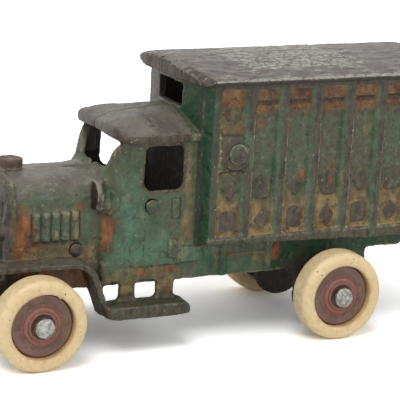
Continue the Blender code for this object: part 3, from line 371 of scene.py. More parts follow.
def patch(middle_y, middle_z, reach_y, reach_z):
    """A soft-edged dab on the side of the truck."""
    return np.exp(-((y - middle_y) / reach_y) ** 2 - ((z - middle_z) / reach_z) ** 2)


def dabs(*rows):
    """Adds up dabs: for each its place, its level, its middle in y and z, and its reaches."""
    return sum(level * place * patch(*spot) for place, level, *spot in rows)


def off_frame(front, rear, bottom, top, corner):
    """Distance outside a rounded rectangle on the side, negative inside."""
    away_y = np.abs(y - (front + rear) / 2) - (rear - front) / 2 + corner
    away_z = np.abs(z - (bottom + top) / 2) - (top - bottom) / 2 + corner
    outside = np.hypot(np.maximum(away_y, 0), np.maximum(away_z, 0))
    return outside + np.minimum(np.maximum(away_y, away_z), 0) - corner


# Places on the truck, each 1 inside and 0 outside. First the van's side, with its sunken
# panels counted from the front, and along being the distance behind a panel's front edge.
points, normals = coordinates(left_half.data)
x, y, z = points.T
nx, ny, nz = normals.T
outer = step_up(nx, -0.35, -0.1)
van = step_up(y, -5.9, -5.3) * step_up(x, 17.5, 18.3) * between(z, 26.2, 73.8, 0.3) * outer
along = np.mod(y - FIRST_PANEL, PANEL_PITCH)
number = np.clip(np.floor((y - FIRST_PANEL) / PANEL_PITCH), 0, PANEL_COUNT - 1).astype(int)
first = number == 0
in_panel = van * between(along, 0.0, PANEL_WIDTH, 0.2) * between(z, 31.2, 72.3, 0.2) * (y > -3.4)
block = in_panel * first * between(z, 49.4, 59.9, 0.2)
band = in_panel * (1 - block) * step_up(z, 64.8, 66.4) * np.where(first, step_up(z, 66.6, 68.4), 1)
foot = in_panel * step_down(z, 38.0, 45.0)
proud = in_panel * step_up(x, 19.8, 20.02)
raised = proud * between(z, 32.4, 49.2, 0.2) * between(along, 0.7, PANEL_WIDTH - 0.5, 0.15)
emblem = proud * first * between(z, 60.4, 67.4, 0.2) * between(along, 0.9, PANEL_WIDTH - 0.7, 0.15)
slot = in_panel * ~first * between(z, *HEAD_SLOT, 0.15) * between(along, 0.6, PANEL_WIDTH - 0.4, 0.15)
slot *= step_down(x, 19.86, 20.0)
rail = van * step_down(z, 30.4, 31.0)
ribs = van * (1 - in_panel) * (1 - rail)
post = ribs * step_down(y, -3.4, -2.8)
rib_rear = van * line_at(np.minimum(along, PANEL_PITCH - along), 0.05, 0.30) * between(z, 31.0, 66.5)
rib_front = van * between(along, PANEL_WIDTH - 0.1, PANEL_WIDTH + 0.9, 0.2) * between(z, 31.0, 72.0)
rib_front *= 1 - first * between(z, 48.9, 60.7)

# The ring round the front boss is worn along its top and front, and green is left behind it.
behind_boss, above_boss = y - FRONT_BOSS[0], z - FRONT_BOSS[1]
ring = van * between(np.hypot(behind_boss, above_boss), 3.2, 4.9, 0.25)
worn_ring = ring * step_up(above_boss - 0.5 * behind_boss, -3.0, 0.0)
beside_ring = (
    van * between(np.hypot(y - 3.2, z - 54.6), 3.0, 5.6, 0.3)
    * step_up(y + 0.4 * (z - 54.6), 4.4, 5.6) * step_down(y, 7.6, 8.2)
)

# The van's end walls, the two roofs and their edges.
front_wall = step_up(-ny, 0.45, 0.75) * between(z, 26.0, 73.6, 0.2)
front_wall *= step_up(y, -9.9, -9.3) * step_down(y, -4.6, -4.2)
rear_wall = step_up(ny, 0.45, 0.75) * step_up(y, 66.8, 67.4) * between(z, 27.0, 73.2, 0.3)
door_frame = rear_wall * step_up(y, 68.3, 68.8)
beside_hatch = step_down(x, 5.6, 6.2) * between(y, -10.8, -5.0) * between(z, 60.0, 73.4)
roof_van = step_up(z, 73.5, 73.9) * step_up(y, -14.0, -13.0)
roof_front = roof_van * step_down(behind_roof_front(x, y), 2.6, 3.6)
eave = step_up(x, 21.8, 22.3) * step_up(z, 73.2, 73.5) * step_down(nz, 0.5, 0.7) * step_up(y, -9.0, -8.6)
before_van = step_down(y, -9.9, -9.3)
roof_cab = before_van * step_up(z, 57.5, 58.1)
cab_brim = before_van * step_up(z, 57.4, 58.0) * step_up(nx + 0.8 * np.maximum(-ny, 0), 0.45, 0.8)

# The hood and the cab.
hood = step_down(y, -35.6, -34.8)
hood_side = hood * between(x, 11.0, 14.6) * between(z, 24.6, 48.0)
hood_foot = between(y, -58.0, -36.0, 1.0) * between(z, 17.0, 26.4) * between(x, 11.6, 13.6, 0.3)
nose = step_down(y, -60.2, -57.2)
cap = step_down(x, 3.8, 4.4) * step_up(z, 49.6, 50.2) * step_down(y, -52.0, -50.0)
cowl_top = between(y, -40.5, -33.2, 0.8) * step_up(z, 46.0, 48.0) * step_down(z, 51.0, 54.0)
lug = between(y, -37.4, -34.2, 0.2) * between(x, 12.4, 16.9, 0.2) * between(z, 40.0, 48.3, 0.2)
cab_skin = between(y, -35.2, -5.4, 0.3) * step_up(x, 12.5, 14.5) * outer
cab_side = cab_skin * between(z, 23.2, 57.6, 0.3)
window_rim = between(off_frame(*WINDOW, 2.2), -1.5, 0.9, 0.25) * cab_side

# What is below them: mudguard, running board, apron, tool box, the van's underside and
# the ear that carries the rear axle.
guard = step_down(y, -33.2, -32.6) * step_down(z, 27.0, 27.4) * step_up(x, 12.6, 13.2)
board = step_down(z, 14.2, 14.8) * step_up(x, 15.0, 15.6) * step_down(y, -7.0, -6.0)
apron = between(y, -34.2, -10.0) * between(z, 14.4, 23.2, 0.3)
apron *= step_up(x, 13.2, 13.8) * step_down(x, 16.2, 17.0)
tool_side = step_up(y, -7.0, -6.5) * step_down(y, 17.6, 18.2)
tool_side *= step_up(z, 18.4, 18.8) * step_down(z, 26.9, 27.6)
behind_tools = between(y, 17.4, 21.5) * between(z, 21.0, 27.4) * step_up(x, 11.5, 12.2)
under_van = step_up(y, 17.4, 18.0) * step_down(z, 26.4, 26.9)
ear = between(y, 22.0, 43.5) * step_down(z, 20.0, 21.5) * step_up(x, 9.5, 10.2)

# The inside: faces that look inwards or down, and the hollows of the chassis, the cab and
# the van. The pillars and the upper van, seen through the openings, have their own coats,
# lightened as painted light where light comes in through those openings.
inward = np.maximum(step_up(-nx, 0.1, 0.4), step_up(-nz, 0.4, 0.7) * (z > 30))
inside = inward * between(y, -57.5, 68.0) * step_up(z, 19.0, 21.0) * (1 - front_wall) * step_up(x, 3.0, 5.0)
for side, length, height in (
    ((8.4, 9.4), (-57.5, 68.0), (18.0, 44.0)),
    ((13.4, 13.9), (-22.0, -4.0), (24.0, 57.5)),
    ((17.0, 18.0), (-7.4, 68.0), (28.0, 73.0)),
):
    inside = np.maximum(inside, step_down(x, *side) * between(y, *length) * between(z, *height))
inside *= (1 - roof_cab) * (1 - roof_van)
pillar = between(y, -36.0, -22.5) * step_up(z, 48.5, 50.0) * inside
pillar_front = step_down(x, 11.0, 12.5) * between(y, -36.0, -28.0)
pillar_front *= step_up(z, 49.5, 51.5) * step_up(-ny, 0.3, 0.6)
# The ear under the van takes the dark inside coat as painted shade.
inside = np.maximum(inside * (1 - 0.9 * pillar), 0.9 * ear)
van_hollow = inside * between(y, -7.0, 40.0) * step_up(z, 50.0, 54.0)
inside -= van_hollow

# Where each coat shows on the left half. A level of 0.3 is hardly any, 0.5 half in broken
# patches and 0.7 nearly all. Each panel has its own: primer in its head, ochre at its
# foot, and more or less of the two greens between.
LEAST = 0.24
HEAD_PRIMER = np.array([0.72, 0.60, 0.66, 0.72, 0.70, 0.82, 0.70])
FOOT_OCHRE = np.array([0.56, 0.55, 0.52, 0.55, 0.54, 0.52, 0.52])
PANEL_TEAL = np.array([0.00, 0.10, 0.10, 0.02, 0.02, 0.12, 0.10])
PANEL_OLIVE = np.array([0.06, 0.08, 0.06, 0.16, 0.16, 0.04, 0.10])

primer = (
    LEAST
    + (HEAD_PRIMER[number] - LEAST) * band
    + 0.16 * in_panel * first * between(z, 59.8, 66.8)
    + 0.22 * foot
    + 0.20 * foot * line_at(z, 31.8, 1.6)
    + 0.12 * foot * step_down(along, 1.0, 3.5)
    + 0.50 * hood_foot
    + 0.36 * cap
    - 0.06 * cab_side
    + 0.45 * behind_tools
    + 0.34 * rear_wall * line_at(z, 69.0, 2.2)
    + 0.30 * rear_wall * line_at(z, 33.0, 2.6)
)
primer += dabs(
    (in_panel, 0.45, 23.0, 47.4, 1.3, 1.6),
    (in_panel, 0.60, 32.4, 44.6, 0.9, 2.6),
    (in_panel, 0.30, 33.4, 50.0, 0.8, 2.6),
    (in_panel, 0.34, 9.0, 63.0, 1.6, 2.6),
    (in_panel, 0.20, 8.6, 35.0, 1.4, 3.0),
    (hood_side, 0.62, -56.2, 35.0, 2.7, 7.0),
    (hood_side, 0.36, -55.5, 29.0, 3.0, 2.0),
    (hood_side, 0.26, -51.5, 30.6, 2.6, 1.5),
    (hood_side, 0.14, -46.0, 28.6, 7.0, 1.8),
    (hood_side, 0.34, -40.2, 40.0, 1.2, 2.6),
    (cab_side, 0.60, -33.0, 35.2, 3.0, 4.2),
    (cab_side, 0.44, -33.4, 30.0, 2.0, 4.4),
    (cab_side, 0.12, -8.6, 42.0, 1.6, 14.0),
    (cab_side, 0.30, -9.2, 32.0, 1.4, 3.4),
    (apron, 0.50, -22.9, 21.8, 3.0, 1.0),
    (apron, 0.45, -14.4, 21.6, 3.4, 1.1),
    (tool_side, 0.42, 8.6, 24.6, 5.6, 0.5),
    (tool_side, 0.36, 3.6, 26.0, 2.6, 0.5),
    (rear_wall, 0.20, 68.5, 51.0, 4.0, 3.0),
)

ochre = (
    LEAST
    + (FOOT_OCHRE[number] - 0.22) * foot
    + 0.08 * foot * step_down(z, 32.5, 36.0)
    + 0.06 * foot * step_down(along, 2.0, 4.0)
    + 0.40 * rib_rear
    + 0.26 * in_panel * line_at(z, 31.5, 0.5)
    + 0.26 * in_panel * first * between(z, 59.8, 66.8)
    + 0.22 * in_panel * first * step_down(along, 0.9, 1.6) * (z < 49.4)
    + 0.26 * in_panel * first * between(z, 48.2, 49.5, 0.2)
    + 0.05 * band
    # painted highlight: the tan line under each slot stands for its lit lower lip
    + 0.19 * band * between(z, 66.4, 67.5, 0.2)
    + 0.13 * band * step_up(z, 69.0, 69.6)
    + 0.20 * cab_side * between(y, -10.8, -8.0) * between(z, 25.0, 57.0)
    + 0.12 * cab_side * between(y, -14.8, -10.6) * step_down(z, 36.0, 37.0)
    + 0.26 * hood_side * between(z, 25.6, 30.6) * step_up(y, -57.5, -56.0)
    + 0.16 * rail * step_down(z, 28.0, 29.5)
    + 0.16 * apron
    + 0.14 * apron * step_down(z, 19.5, 21.0)
    + 0.06 * tool_side
    + 0.22 * rear_wall * line_at(z, 35.0, 4.0)
    + 0.12 * rear_wall * line_at(z, 67.0, 2.5)
)
ochre += dabs(
    (in_panel, 0.26, 31.6, 39.6, 2.4, 1.3),
    (in_panel, 0.24, 12.6, 33.6, 1.6, 2.4),
    (in_panel, 0.22, 46.2, 44.0, 0.6, 3.0),
    (cab_side, 0.18, -34.6, 33.0, 1.8, 6.0),
    (cab_side, 0.18, -20.0, 58.0, 8.0, 0.8),
    (hood_side, 0.32, -41.2, 36.0, 1.1, 4.6),
    (hood_side, 0.14, -46.5, 40.0, 6.0, 1.0),
    (tool_side, 0.16, 15.8, 22.6, 0.9, 3.0),
)

bare = (
    LEAST
    + 0.34 * ribs * (1 - rib_front) * (1 - rib_rear)
    - 0.12 * post
    + 0.30 * rail
    + 0.30 * emblem
    + 0.32 * raised
    + 0.11 * raised * step_down(z, 39.5, 41.5)
    - 0.20 * foot * (1 - raised)
    + 0.44 * worn_ring
    - 0.80 * beside_ring
    + 0.33 * guard
    + 0.32 * board
    + 0.10 * under_van
    + 0.40 * window_rim
    + 0.40 * pillar
    + np.maximum(0.38 * nose, 0.34 * cap)
    + 0.34 * hood_side * between(z, 24.4, 26.4, 0.3)
    + 0.50 * np.maximum(roof_front, eave)
    + 0.52 * cab_brim
    + 0.50 * lug
    + 0.30 * apron * step_down(z, 15.5, 17.0)
    + 0.30 * door_frame
    + 0.25 * beside_hatch
)
bare += dabs(
    (cab_side, 0.30, -21.0, 57.4, 9.0, 1.1),
    (cab_side, 0.32, -30.6, 54.6, 2.6, 3.6),
    (cab_side, 0.30, -13.1, 29.0, 1.3, 2.6),
    (cab_side, 0.24, -13.0, 44.6, 1.8, 1.0),
)

teal = (
    LEAST
    + 0.20 * (rear_wall - door_frame)
    + 0.36 * rib_front
    + PANEL_TEAL[number] * in_panel * (1 - band)
    + 0.46 * beside_ring
    + 0.24 * tool_side
    + 0.40 * tool_side * between(y, 16.0, 17.6, 0.3)
    + 0.30 * tool_side * between(y, -3.6, -1.8, 0.3)
)
teal += dabs(
    (cab_side, 0.42, -26.5, 37.0, 5.0, 12.0),
    (cab_side, 0.44, -19.0, 28.0, 6.5, 5.0),
    (cab_side, 0.26, -30.0, 27.0, 4.0, 3.0),
    (cab_side, 0.45, -8.5, 25.8, 3.4, 2.4),
    (cab_side, -0.10, -33.0, 46.0, 3.0, 4.0),
    (van, 0.30, 2.4, 54.6, 1.9, 2.6),
    (van, 0.44, 0.8, 63.6, 1.2, 1.8),
    (van, 0.34, 25.8, 29.9, 1.2, 0.6),
    (hood_side, 0.26, -48.0, 42.6, 8.0, 1.2),
    (hood_side, 0.24, -47.0, 35.0, 6.0, 4.0),
    (hood_side, 0.45, -37.6, 35.2, 1.1, 3.6),
    (tool_side, 0.34, -1.0, 23.0, 4.0, 5.0),
    (under_van, 0.30, 22.0, 27.0, 10.0, 1.5),
)

deep = (
    LEAST
    + 0.70 * front_wall
    # painted shade: darker green under the van's overhang
    + 0.45 * under_van
    + 0.22 * in_panel * between(along, 6.2, 7.5, 0.3) * (1 - band)
    + 0.22 * board
    + 0.16 * guard
    + 0.26 * post
    + 0.24 * tool_side
    + 0.18 * apron
    + 0.18 * (x < 12.0) * step_down(z, 46.0, 47.0)
)
deep += dabs(
    (board, 0.22, -14.5, 13.8, 5.0, 2.0),
    # painted shade in the hollow behind the lug; the next dab darkens the cab's side up under its roof
    (cab_side, 0.24, -33.0, 46.0, 2.6, 3.4),
    (cab_side, 0.20, -28.0, 53.0, 5.0, 4.5),
)

olive = 0.50 + PANEL_OLIVE[number] * in_panel * (1 - band)
stain = (
    0.46
    + 0.20 * block
    + 0.22 * in_panel * between(z, 64.0, 65.0, 0.4)
    + 0.16 * pillar
    - 0.10 * cab_side
    + dabs((cab_side, 0.14, -29.0, 52.0, 5.0, 4.0))
)

hood_top = 0.46 * step_up(z, 41.5, 43.6) + 0.24 * step_up(z, 43.0, 47.6) + 0.30 * step_up(z, 46.8, 48.6)
grey_and_painted_light = 0.86 * np.maximum(roof_cab * (1 - 0.8 * cab_brim), hood * hood_top) * (1 - cap) * (1 - 0.5 * nose)
for other in (
    # painted light: the upper van and the pillars' inner faces are lightened to a grey
    0.90 * van_hollow,
    0.86 * pillar,
    0.60 * pillar_front,
    0.46 * guard * step_up(nz, 0.2, 0.5),
    0.72 * cowl_top * step_up(nz, 0.1, 0.5),
):
    grey_and_painted_light = np.maximum(grey_and_painted_light, other)

roof = roof_van * (1 - 0.8 * np.maximum(roof_front, eave))
pale = (
    LEAST
    + 0.02 * roof_van
    + 0.28 * roof_van * between(y, 4.0, 44.0, 6.0) * between(x, -1.0, 17.0, 3.0)
    + 0.10 * roof_van * step_up(x, 17.5, 20.5)
    # painted highlight: the bright line along the top of the van roof's eave
    + 0.40 * step_up(x, 21.6, 22.0) * between(z, 74.95, 75.45, 0.12)
    + 0.28 * rib_rear * step_down(z, 61.0, 65.0)
)

# Edges are rubbed pale and carry a painted highlight, less so where the iron round them is dark.
relief = stands_out(left_half.data)
edge = step_up(relief, 0.045, 0.15)
for place, share in (
    (ribs, 0.9), (rail, 0.8), (in_panel, 0.9), (van * block, 0.5), (ring, 0.9), (cab_side, 0.55),
    (roof_cab, 0.7), (roof_front, 0.8), (nose, 0.6), (cap, 0.8), (hood_side, 0.5), (guard, 0.6),
    (board, 0.6), (apron, 0.6), (tool_side, 0.8),
):
    edge *= 1 - share * np.clip(place, 0, 1)
edge += (
    0.55 * rib_rear * step_down(z, 60.0, 64.0)
    # painted highlights along the rail's top edge and the upper ends of the louvres
    + 0.70 * van * line_at(z, 30.6, 0.35)
    + 0.40 * hood_side * step_up(x, 13.1, 13.4) * between(z, 39.0, 40.2, 0.2)
)

# Dark lines of painted shade, with some dirt, in the cast grooves: round the door's foot,
# the arched box and the plate by the catch, down the door, between the louvres, and on
# the tool box.
grime = line_at(off_frame(-26.4, -5.0, 23.3, 60.0, 1.6), 0, 0.28) * (z < 30.0) * (y < -11.6)
grime += line_at(off_frame(-11.4, -5.2, 23.7, 28.2, 1.2), 0, 0.24)
grime += line_at(off_frame(-14.4, -11.7, 36.4, 42.2, 0.5), 0, 0.22)
grime += line_at(y, -22.1, 0.2) * between(z, 24.0, 37.6) * (np.sin(z * 1.9) > -0.6)
grime *= cab_skin
from_gap = np.mod(y - LOUVRE_START + LOUVRE_PITCH / 2, LOUVRE_PITCH) - LOUVRE_PITCH / 2
grime += hood_side * line_at(from_gap, 0, 0.34) * between(z, 31.8, 39.4) * between(y, -53.9, -39.6, 0.2)
grime += tool_side * (line_at(y, -1.4, 0.2) + line_at(z, 25.1, 0.2) * between(y, 3.2, 15.4))

# Painted shade, with some dirt, darkens every hollow and the inside of each slot. The
# panels' heads are darker, dirt lies in the seam, and a painted shadow darkens the lip
# under the eave and the face in front of the lug.
hollow = step_up(-relief, 0.02, 0.14)
shade = np.maximum(0.60 * slot, 0.45 * hollow * (1 - rib_front) * (1 - band)) + 0.20 * raised * hollow
for other in (
    np.where(first, 0.34, 0.42) * band,
    0.62 * step_down(x, 0.15, 0.30),
    0.76 * np.clip(grime, 0, 1),
    # painted shadow on the lip under the van roof's eave
    0.85 * eave * step_down(z, 74.75, 75.0),
    # painted shade on the lug's front face
    0.80 * lug * step_up(-ny, 0.4, 0.7),
):
    shade = np.maximum(shade, other)

coats = {
    "olive": olive, "teal": teal, "stain": stain, "deep": deep, "primer": primer, "ochre": ochre,
    "bare": bare, "grey_and_painted_light": grey_and_painted_light, "roof": roof, "pale": pale, "edge": edge, "shade": shade, "inside": inside,
}
for name, values in coats.items():
    store(left_half.data, name, values)


def srgb(hex_colour):
    """An sRGB hex colour as the linear RGBA that a socket takes."""
    channels = [int(hex_colour[index:index + 2], 16) / 255 for index in (1, 3, 5)]
    return tuple(c / 12.92 if c <= 0.04045 else ((c + 0.055) / 1.055) ** 2.4 for c in channels) + (1.0,)


def per_metre(millimetres):
    """The scale of a pattern whose features are that many millimetres across."""
    return 1000.0 / millimetres


def add(owner, kind, inputs=None, output=0, **settings):
    """Adds a shader node, sets it, links or fills its inputs, and returns one output."""
    node = owner.node_tree.nodes.new("ShaderNode" + kind)
    for name, value in settings.items():
        setattr(node, name, value)
    for name, value in (inputs or {}).items():
        if isinstance(value, bpy.types.NodeSocket):
            owner.node_tree.links.new(value, node.inputs[name])
        else:
            node.inputs[name].default_value = value
    return node.outputs[output] if len(node.outputs) else None


def start_material(name):
    """A material with no nodes, and the coordinates of the piece that wears it."""
    material = bpy.data.materials.new(name)
    material.use_nodes = True
    material.node_tree.nodes.clear()
    return material, add(material, "TexCoord", output="Object")


def worn_to(material, cover, breakup, soft, most=1.0):
    """How much of a coat is left: the most where cover and pattern add up to over 1."""
    total = add(material, "Math", {0: cover, 1: breakup}, operation="ADD")
    return add(material, "MapRange", {
        "Value": total, "From Min": 1.0 - soft, "From Max": 1.0 + soft, "To Max": most,
    })


# Old brushed enamel on cast iron: a thin satin green, bluer where it is thick, over an
# orange-brown primer and a yellowed varnish. It is worn in soft broken patches down to
# purple-brown iron, with dirt and painted shade in the corners, and pale rubbed edges that
# also carry a painted highlight.
enamel, place = start_material("worn_enamel_on_cast_iron")

# Its patterns: each one's size in millimetres, detail, roughness and distortion, and how
# it is stretched and shifted.
pattern = {}
for name, size, detail, roughness, distortion, stretch, shift in (
    ("cloud", 8.0, 3.0, 0.55, 0.4, (1, 1, 1), 0.00),
    ("blotch", 2.8, 5.0, 0.60, 0.5, (1, 1, 1), 0.00),
    ("second", 2.0, 5.0, 0.62, 0.6, (1, 1, 1), 0.11),
    ("third", 3.4, 5.0, 0.58, 0.5, (1, 1, 0.6), 0.23),
    ("chip", 1.0, 4.0, 0.65, 0.0, (1, 1, 1), 0.00),
    ("speck", 0.42, 2.0, 0.60, 0.0, (1, 1, 1), 0.00),
    ("brushed", 1.6, 5.0, 0.65, 0.3, (1, 0.35, 1), 0.00),
    ("runs", 1.5, 4.0, 0.60, 0.2, (1, 1, 0.3), 0.00),
):
    stretched = add(enamel, "Mapping", {
        "Vector": place, "Scale": stretch, "Location": (shift, shift, shift),
    })
    pattern[name] = add(enamel, "TexNoise", {
        "Vector": stretched, "Scale": per_metre(size), "Detail": detail,
        "Roughness": roughness, "Distortion": distortion,
    }, "Fac")

# On the roof the last coat has cracked into plates, dark where they part.
long_way = add(enamel, "Mapping", {"Vector": place, "Scale": (1, 0.5, 1)})
plates = add(enamel, "TexVoronoi", {
    "Vector": long_way, "Scale": per_metre(1.3),
}, "Distance", feature="DISTANCE_TO_EDGE")
crack = add(enamel, "MapRange", {
    "Value": plates, "From Min": 0.02, "From Max": 0.14, "To Min": -0.35, "To Max": 0.05,
})
pattern["flakes"] = add(enamel, "Math", {0: pattern["brushed"], 1: crack}, operation="ADD")
mask = {name: add(enamel, "Attribute", {}, "Fac", attribute_name=name) for name in coats}

# Each coat from the first to the last: the pattern that breaks its edge, how softly, how
# much of it covers, its dark and light tone, and the pattern that mixes them.
colour = srgb("#46593f")
worn = {}
for name, breakup, soft, most, dark, light, mixed_by in (
    ("olive", "blotch", 0.20, 1.0, "#494835", "#626149", "chip"),
    ("teal", "blotch", 0.26, 1.0, "#3e654f", "#567c63", "third"),
    ("stain", "second", 0.18, 0.9, "#3d3427", "#5d543e", "chip"),
    ("deep", "cloud", 0.16, 1.0, "#16351f", "#234a2d", "blotch"),
    ("primer", "second", 0.15, 1.0, "#4b2c1c", "#945c32", "third"),
    ("ochre", "third", 0.18, 0.95, "#5b4526", "#9a8655", "blotch"),
    ("bare", "second", 0.16, 1.0, "#302822", "#594d41", "runs"),
    ("grey_and_painted_light", "brushed", 0.16, 0.95, "#5d5652", "#777369", "cloud"),
    ("roof", "brushed", 0.12, 1.0, "#564b4a", "#7a7771", "brushed"),
    ("pale", "flakes", 0.07, 0.9, "#8c8c84", "#adaca4", "chip"),
    ("edge", "chip", 0.14, 0.34, "#8a846e", "#b3aa91", "third"),
    ("shade", "speck", 0.20, 0.9, "#1d1613", "#2d251e", "chip"),
    ("inside", "cloud", 0.30, 1.0, "#37312f", "#4a4440", "blotch"),
):
    worn[name] = worn_to(enamel, mask[name], pattern[breakup], soft, most)
    spread = add(enamel, "MapRange", {"Value": pattern[mixed_by], "From Min": 0.34, "From Max": 0.66})
    coat = add(enamel, "Mix", {0: spread, 6: srgb(dark), 7: srgb(light)}, 2, data_type="RGBA")
    colour = add(enamel, "Mix", {0: worn[name], 6: colour, 7: coat}, 2, data_type="RGBA")

# Black pits in the skin and a few pale flecks where the paint has chipped.
pits = add(enamel, "TexVoronoi", {"Vector": place, "Scale": per_metre(1.5)}, "Distance")
deeper = add(enamel, "Math", {0: pits, 1: pattern["speck"]}, operation="ADD")
pit = add(enamel, "MapRange", {
    "Value": deeper, "From Min": 0.50, "From Max": 0.60, "To Min": 1.0, "To Max": 0.0,
})
flecks = add(enamel, "Math", {0: pattern["chip"], 1: pattern["speck"]}, operation="ADD")
fleck = add(enamel, "MapRange", {"Value": flecks, "From Min": 1.25, "From Max": 1.33})
colour = add(enamel, "Mix", {0: fleck, 6: colour, 7: srgb("#a39a84")}, 2, data_type="RGBA")
colour = add(enamel, "Mix", {0: pit, 6: colour, 7: srgb("#261e19")}, 2, data_type="RGBA")

# The skin lies lower where the paint is gone and in the pits, and its gloss is uneven.
skin = add(enamel, "Math", {0: worn["primer"], 1: worn["bare"]}, operation="ADD")
skin = add(enamel, "Math", {0: skin, 1: -0.5, 2: flecks}, operation="MULTIPLY_ADD")
skin = add(enamel, "Math", {0: pit, 1: -0.8, 2: skin}, operation="MULTIPLY_ADD")
rough = add(enamel, "MapRange", {
    "Value": pattern["blotch"], "From Min": 0.3, "From Max": 0.7, "To Min": 0.34, "To Max": 0.58,
})
rough = add(enamel, "Math", {0: rough, 1: mask["inside"]}, operation="MAXIMUM")
add(enamel, "OutputMaterial", {"Surface": add(enamel, "BsdfPrincipled", {
    "Base Color": colour, "Roughness": rough, "Specular IOR Level": 0.4,
    "Normal": add(enamel, "Bump", {"Height": skin, "Strength": 0.5, "Distance": 0.12 * MM}),
})})


def finish_piece(piece, material, body_name, slot, *nodes):
    """Gives a piece its material and its body and hides the CAD nodes that it stands for; slot is not used.
    """
    piece.data.materials.clear()
    piece.data.materials.append(material)
    for polygon in piece.data.polygons:
        polygon.use_smooth = True
    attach(piece, body_name)
    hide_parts(*nodes)


# The right half is the left one mirrored, and it is worn in its own way: its lug is low,
# the cab roof's corner droops, the van roof's is thick and rubbed round, and the wall
# round its hatch is worn to grey iron.
CORNER_DROOP = 1.2              # of the cab roof's corner
LUG_LOSS = 0.75                 # share of its height that the lug has lost
CORNER_THICKER = (0.7, 1.4)     # the van roof's corner, upwards and downwards

right_half = left_half.copy()
right_half.data = left_half.data.copy()
right_half.name = right_half.data.name = "right_casting"
points = coordinates(right_half.data)[0]
x, y, z = points.T
droop = step_down(y, -30.3, -29.5) * step_up(x, 7.0, 13.0) * between(z, 56.0, 58.2, 0.8)
points[:, 2] -= CORNER_DROOP * droop
low_lug = between(y, -38.5, -33.0, 1.0) * step_up(x, 10.0, 12.5) * between(z, 44.0, 50.0, 0.5)
points[:, 2] -= low_lug * LUG_LOSS * np.maximum(z - 44.5, 0)
thick = step_down(y, -9.8, -8.8) * step_up(x, 12.0, 18.0) * step_up(z, 73.0, 73.6)
upwards, downwards = CORNER_THICKER
points[:, 2] += thick * (upwards * step_up(nz, 0.0, 0.4) - downwards * step_down(nz, -0.4, 0.2))
round_corner = step_down(y, -9.5, -7.5) * step_up(x, 12.0, 17.0) * step_up(z, 71.4, 72.0)
hatch_wall = front_wall * step_up(z, 59.0, 60.5)
points = relaxed(points, edge_pairs(right_half.data), rounds=40, share=round_corner)
set_points(right_half.data, points)
store(right_half.data, "deep", deep - 0.70 * hatch_wall)
store(right_half.data, "grey_and_painted_light", grey_and_painted_light + 0.85 * hatch_wall)
right_half.data.transform(Matrix.Scale(-1, 4, (1, 0, 0)))
right_half.data.flip_normals()
bpy.context.scene.collection.objects.link(right_half)
finish_piece(left_half, enamel, "body", "green_paint_on_iron", "left_body_half")
finish_piece(right_half, enamel, "body", "green_paint_on_iron", "right_body_half")

# Rivets: four soft iron pins that hold the halves together, each hammered to a low dome
# at both ends. They were painted with the body, and the play wear took their tops bare.
RIVET_STEPS = 32
RIVET_SHANK = 1.5               # radius
RIVET_HEIGHT = 0.95             # of each head
RIVET_CROWN = 0.6               # share of that height that is domed
HEAD_GAP = 0.15                 # under each head
DOME_STEPS = 10


def turned(name, outline, y, z, steps, ring):
    """A piece spun about a line along X, from (x, radius) corners in millimetres."""
    bm = bmesh.new()
    corners = [bm.verts.new((across * MM, y * MM, (z + radius) * MM)) for across, radius in outline]
    for one, following in zip(corners, corners[1:]):
        bm.edges.new((one, following))
    if ring:
        bm.edges.new((corners[-1], corners[0]))
    bmesh.ops.spin(bm, geom=bm.verts[:] + bm.edges[:], cent=(0, y * MM, z * MM), axis=(1, 0, 0),
                   angle=2 * math.pi, steps=steps, use_merge=True, use_duplicate=False)
    bmesh.ops.remove_doubles(bm, verts=bm.verts, dist=0.002 * MM)
    bmesh.ops.recalc_face_normals(bm, faces=bm.faces)
    return new_piece(name, bm)


def bow(across, radius, size, start, end, steps):
    """Corners along an arc of a turned outline; 0 degrees points along +X, 90 outwards."""
    angles = [math.radians(start + (end - start) * step / steps) for step in range(steps + 1)]
    return [(across + size * math.cos(angle), radius + size * math.sin(angle)) for angle in angles]


def hammered(piece, depth, size, seed, share=None):
    """Dents a piece's surface with smooth noise, all over or as much as share gives."""
    points, normals = coordinates(piece.data)
    dents = lumps(points, size, seed) * depth
    points += normals * (dents if share is None else dents * share(points))[:, None]
    set_points(piece.data, points)


def wear(piece, rounds=4, **levels):
    """Stores a turned piece's pale edges, worn and lit as a painted highlight, painted shade in its corners,
    and any other coat's level.
    """
    relief = stands_out(piece.data, rounds)
    store(piece.data, "edge", step_up(relief, 0.01, 0.08))
    store(piece.data, "shade", step_up(-relief, 0.02, 0.09) * 0.45)
    for name, level in levels.items():
        store(piece.data, name, level)


def patch_of(piece, y, z, reach):
    """A soft round dab on the faces of a turned piece."""
    points = coordinates(piece.data)[0]
    return np.exp(-(((points[:, 1] - y) ** 2 + (points[:, 2] - z) ** 2) / reach ** 2))


def pin(name, y, z, reach, shank, head, height, crown, steps):
    """A pin through the truck with a domed head at each end, reach away from the middle."""
    quarter = [math.radians(90 * step / DOME_STEPS) for step in range(DOME_STEPS + 1)]
    dome = [(reach + height * (1 - crown + crown * math.cos(angle)), head * math.sin(angle) ** 0.8)
            for angle in quarter]
    dome[0] = (reach + height, 0.0)
    rim_width = 0.12
    end = dome + [(reach + 0.25 * height, head), (reach, head - rim_width), (reach, shank)]
    outline = end + [(-across, radius) for across, radius in reversed(end)]
    return turned(name, outline, y, z, steps, ring=False)


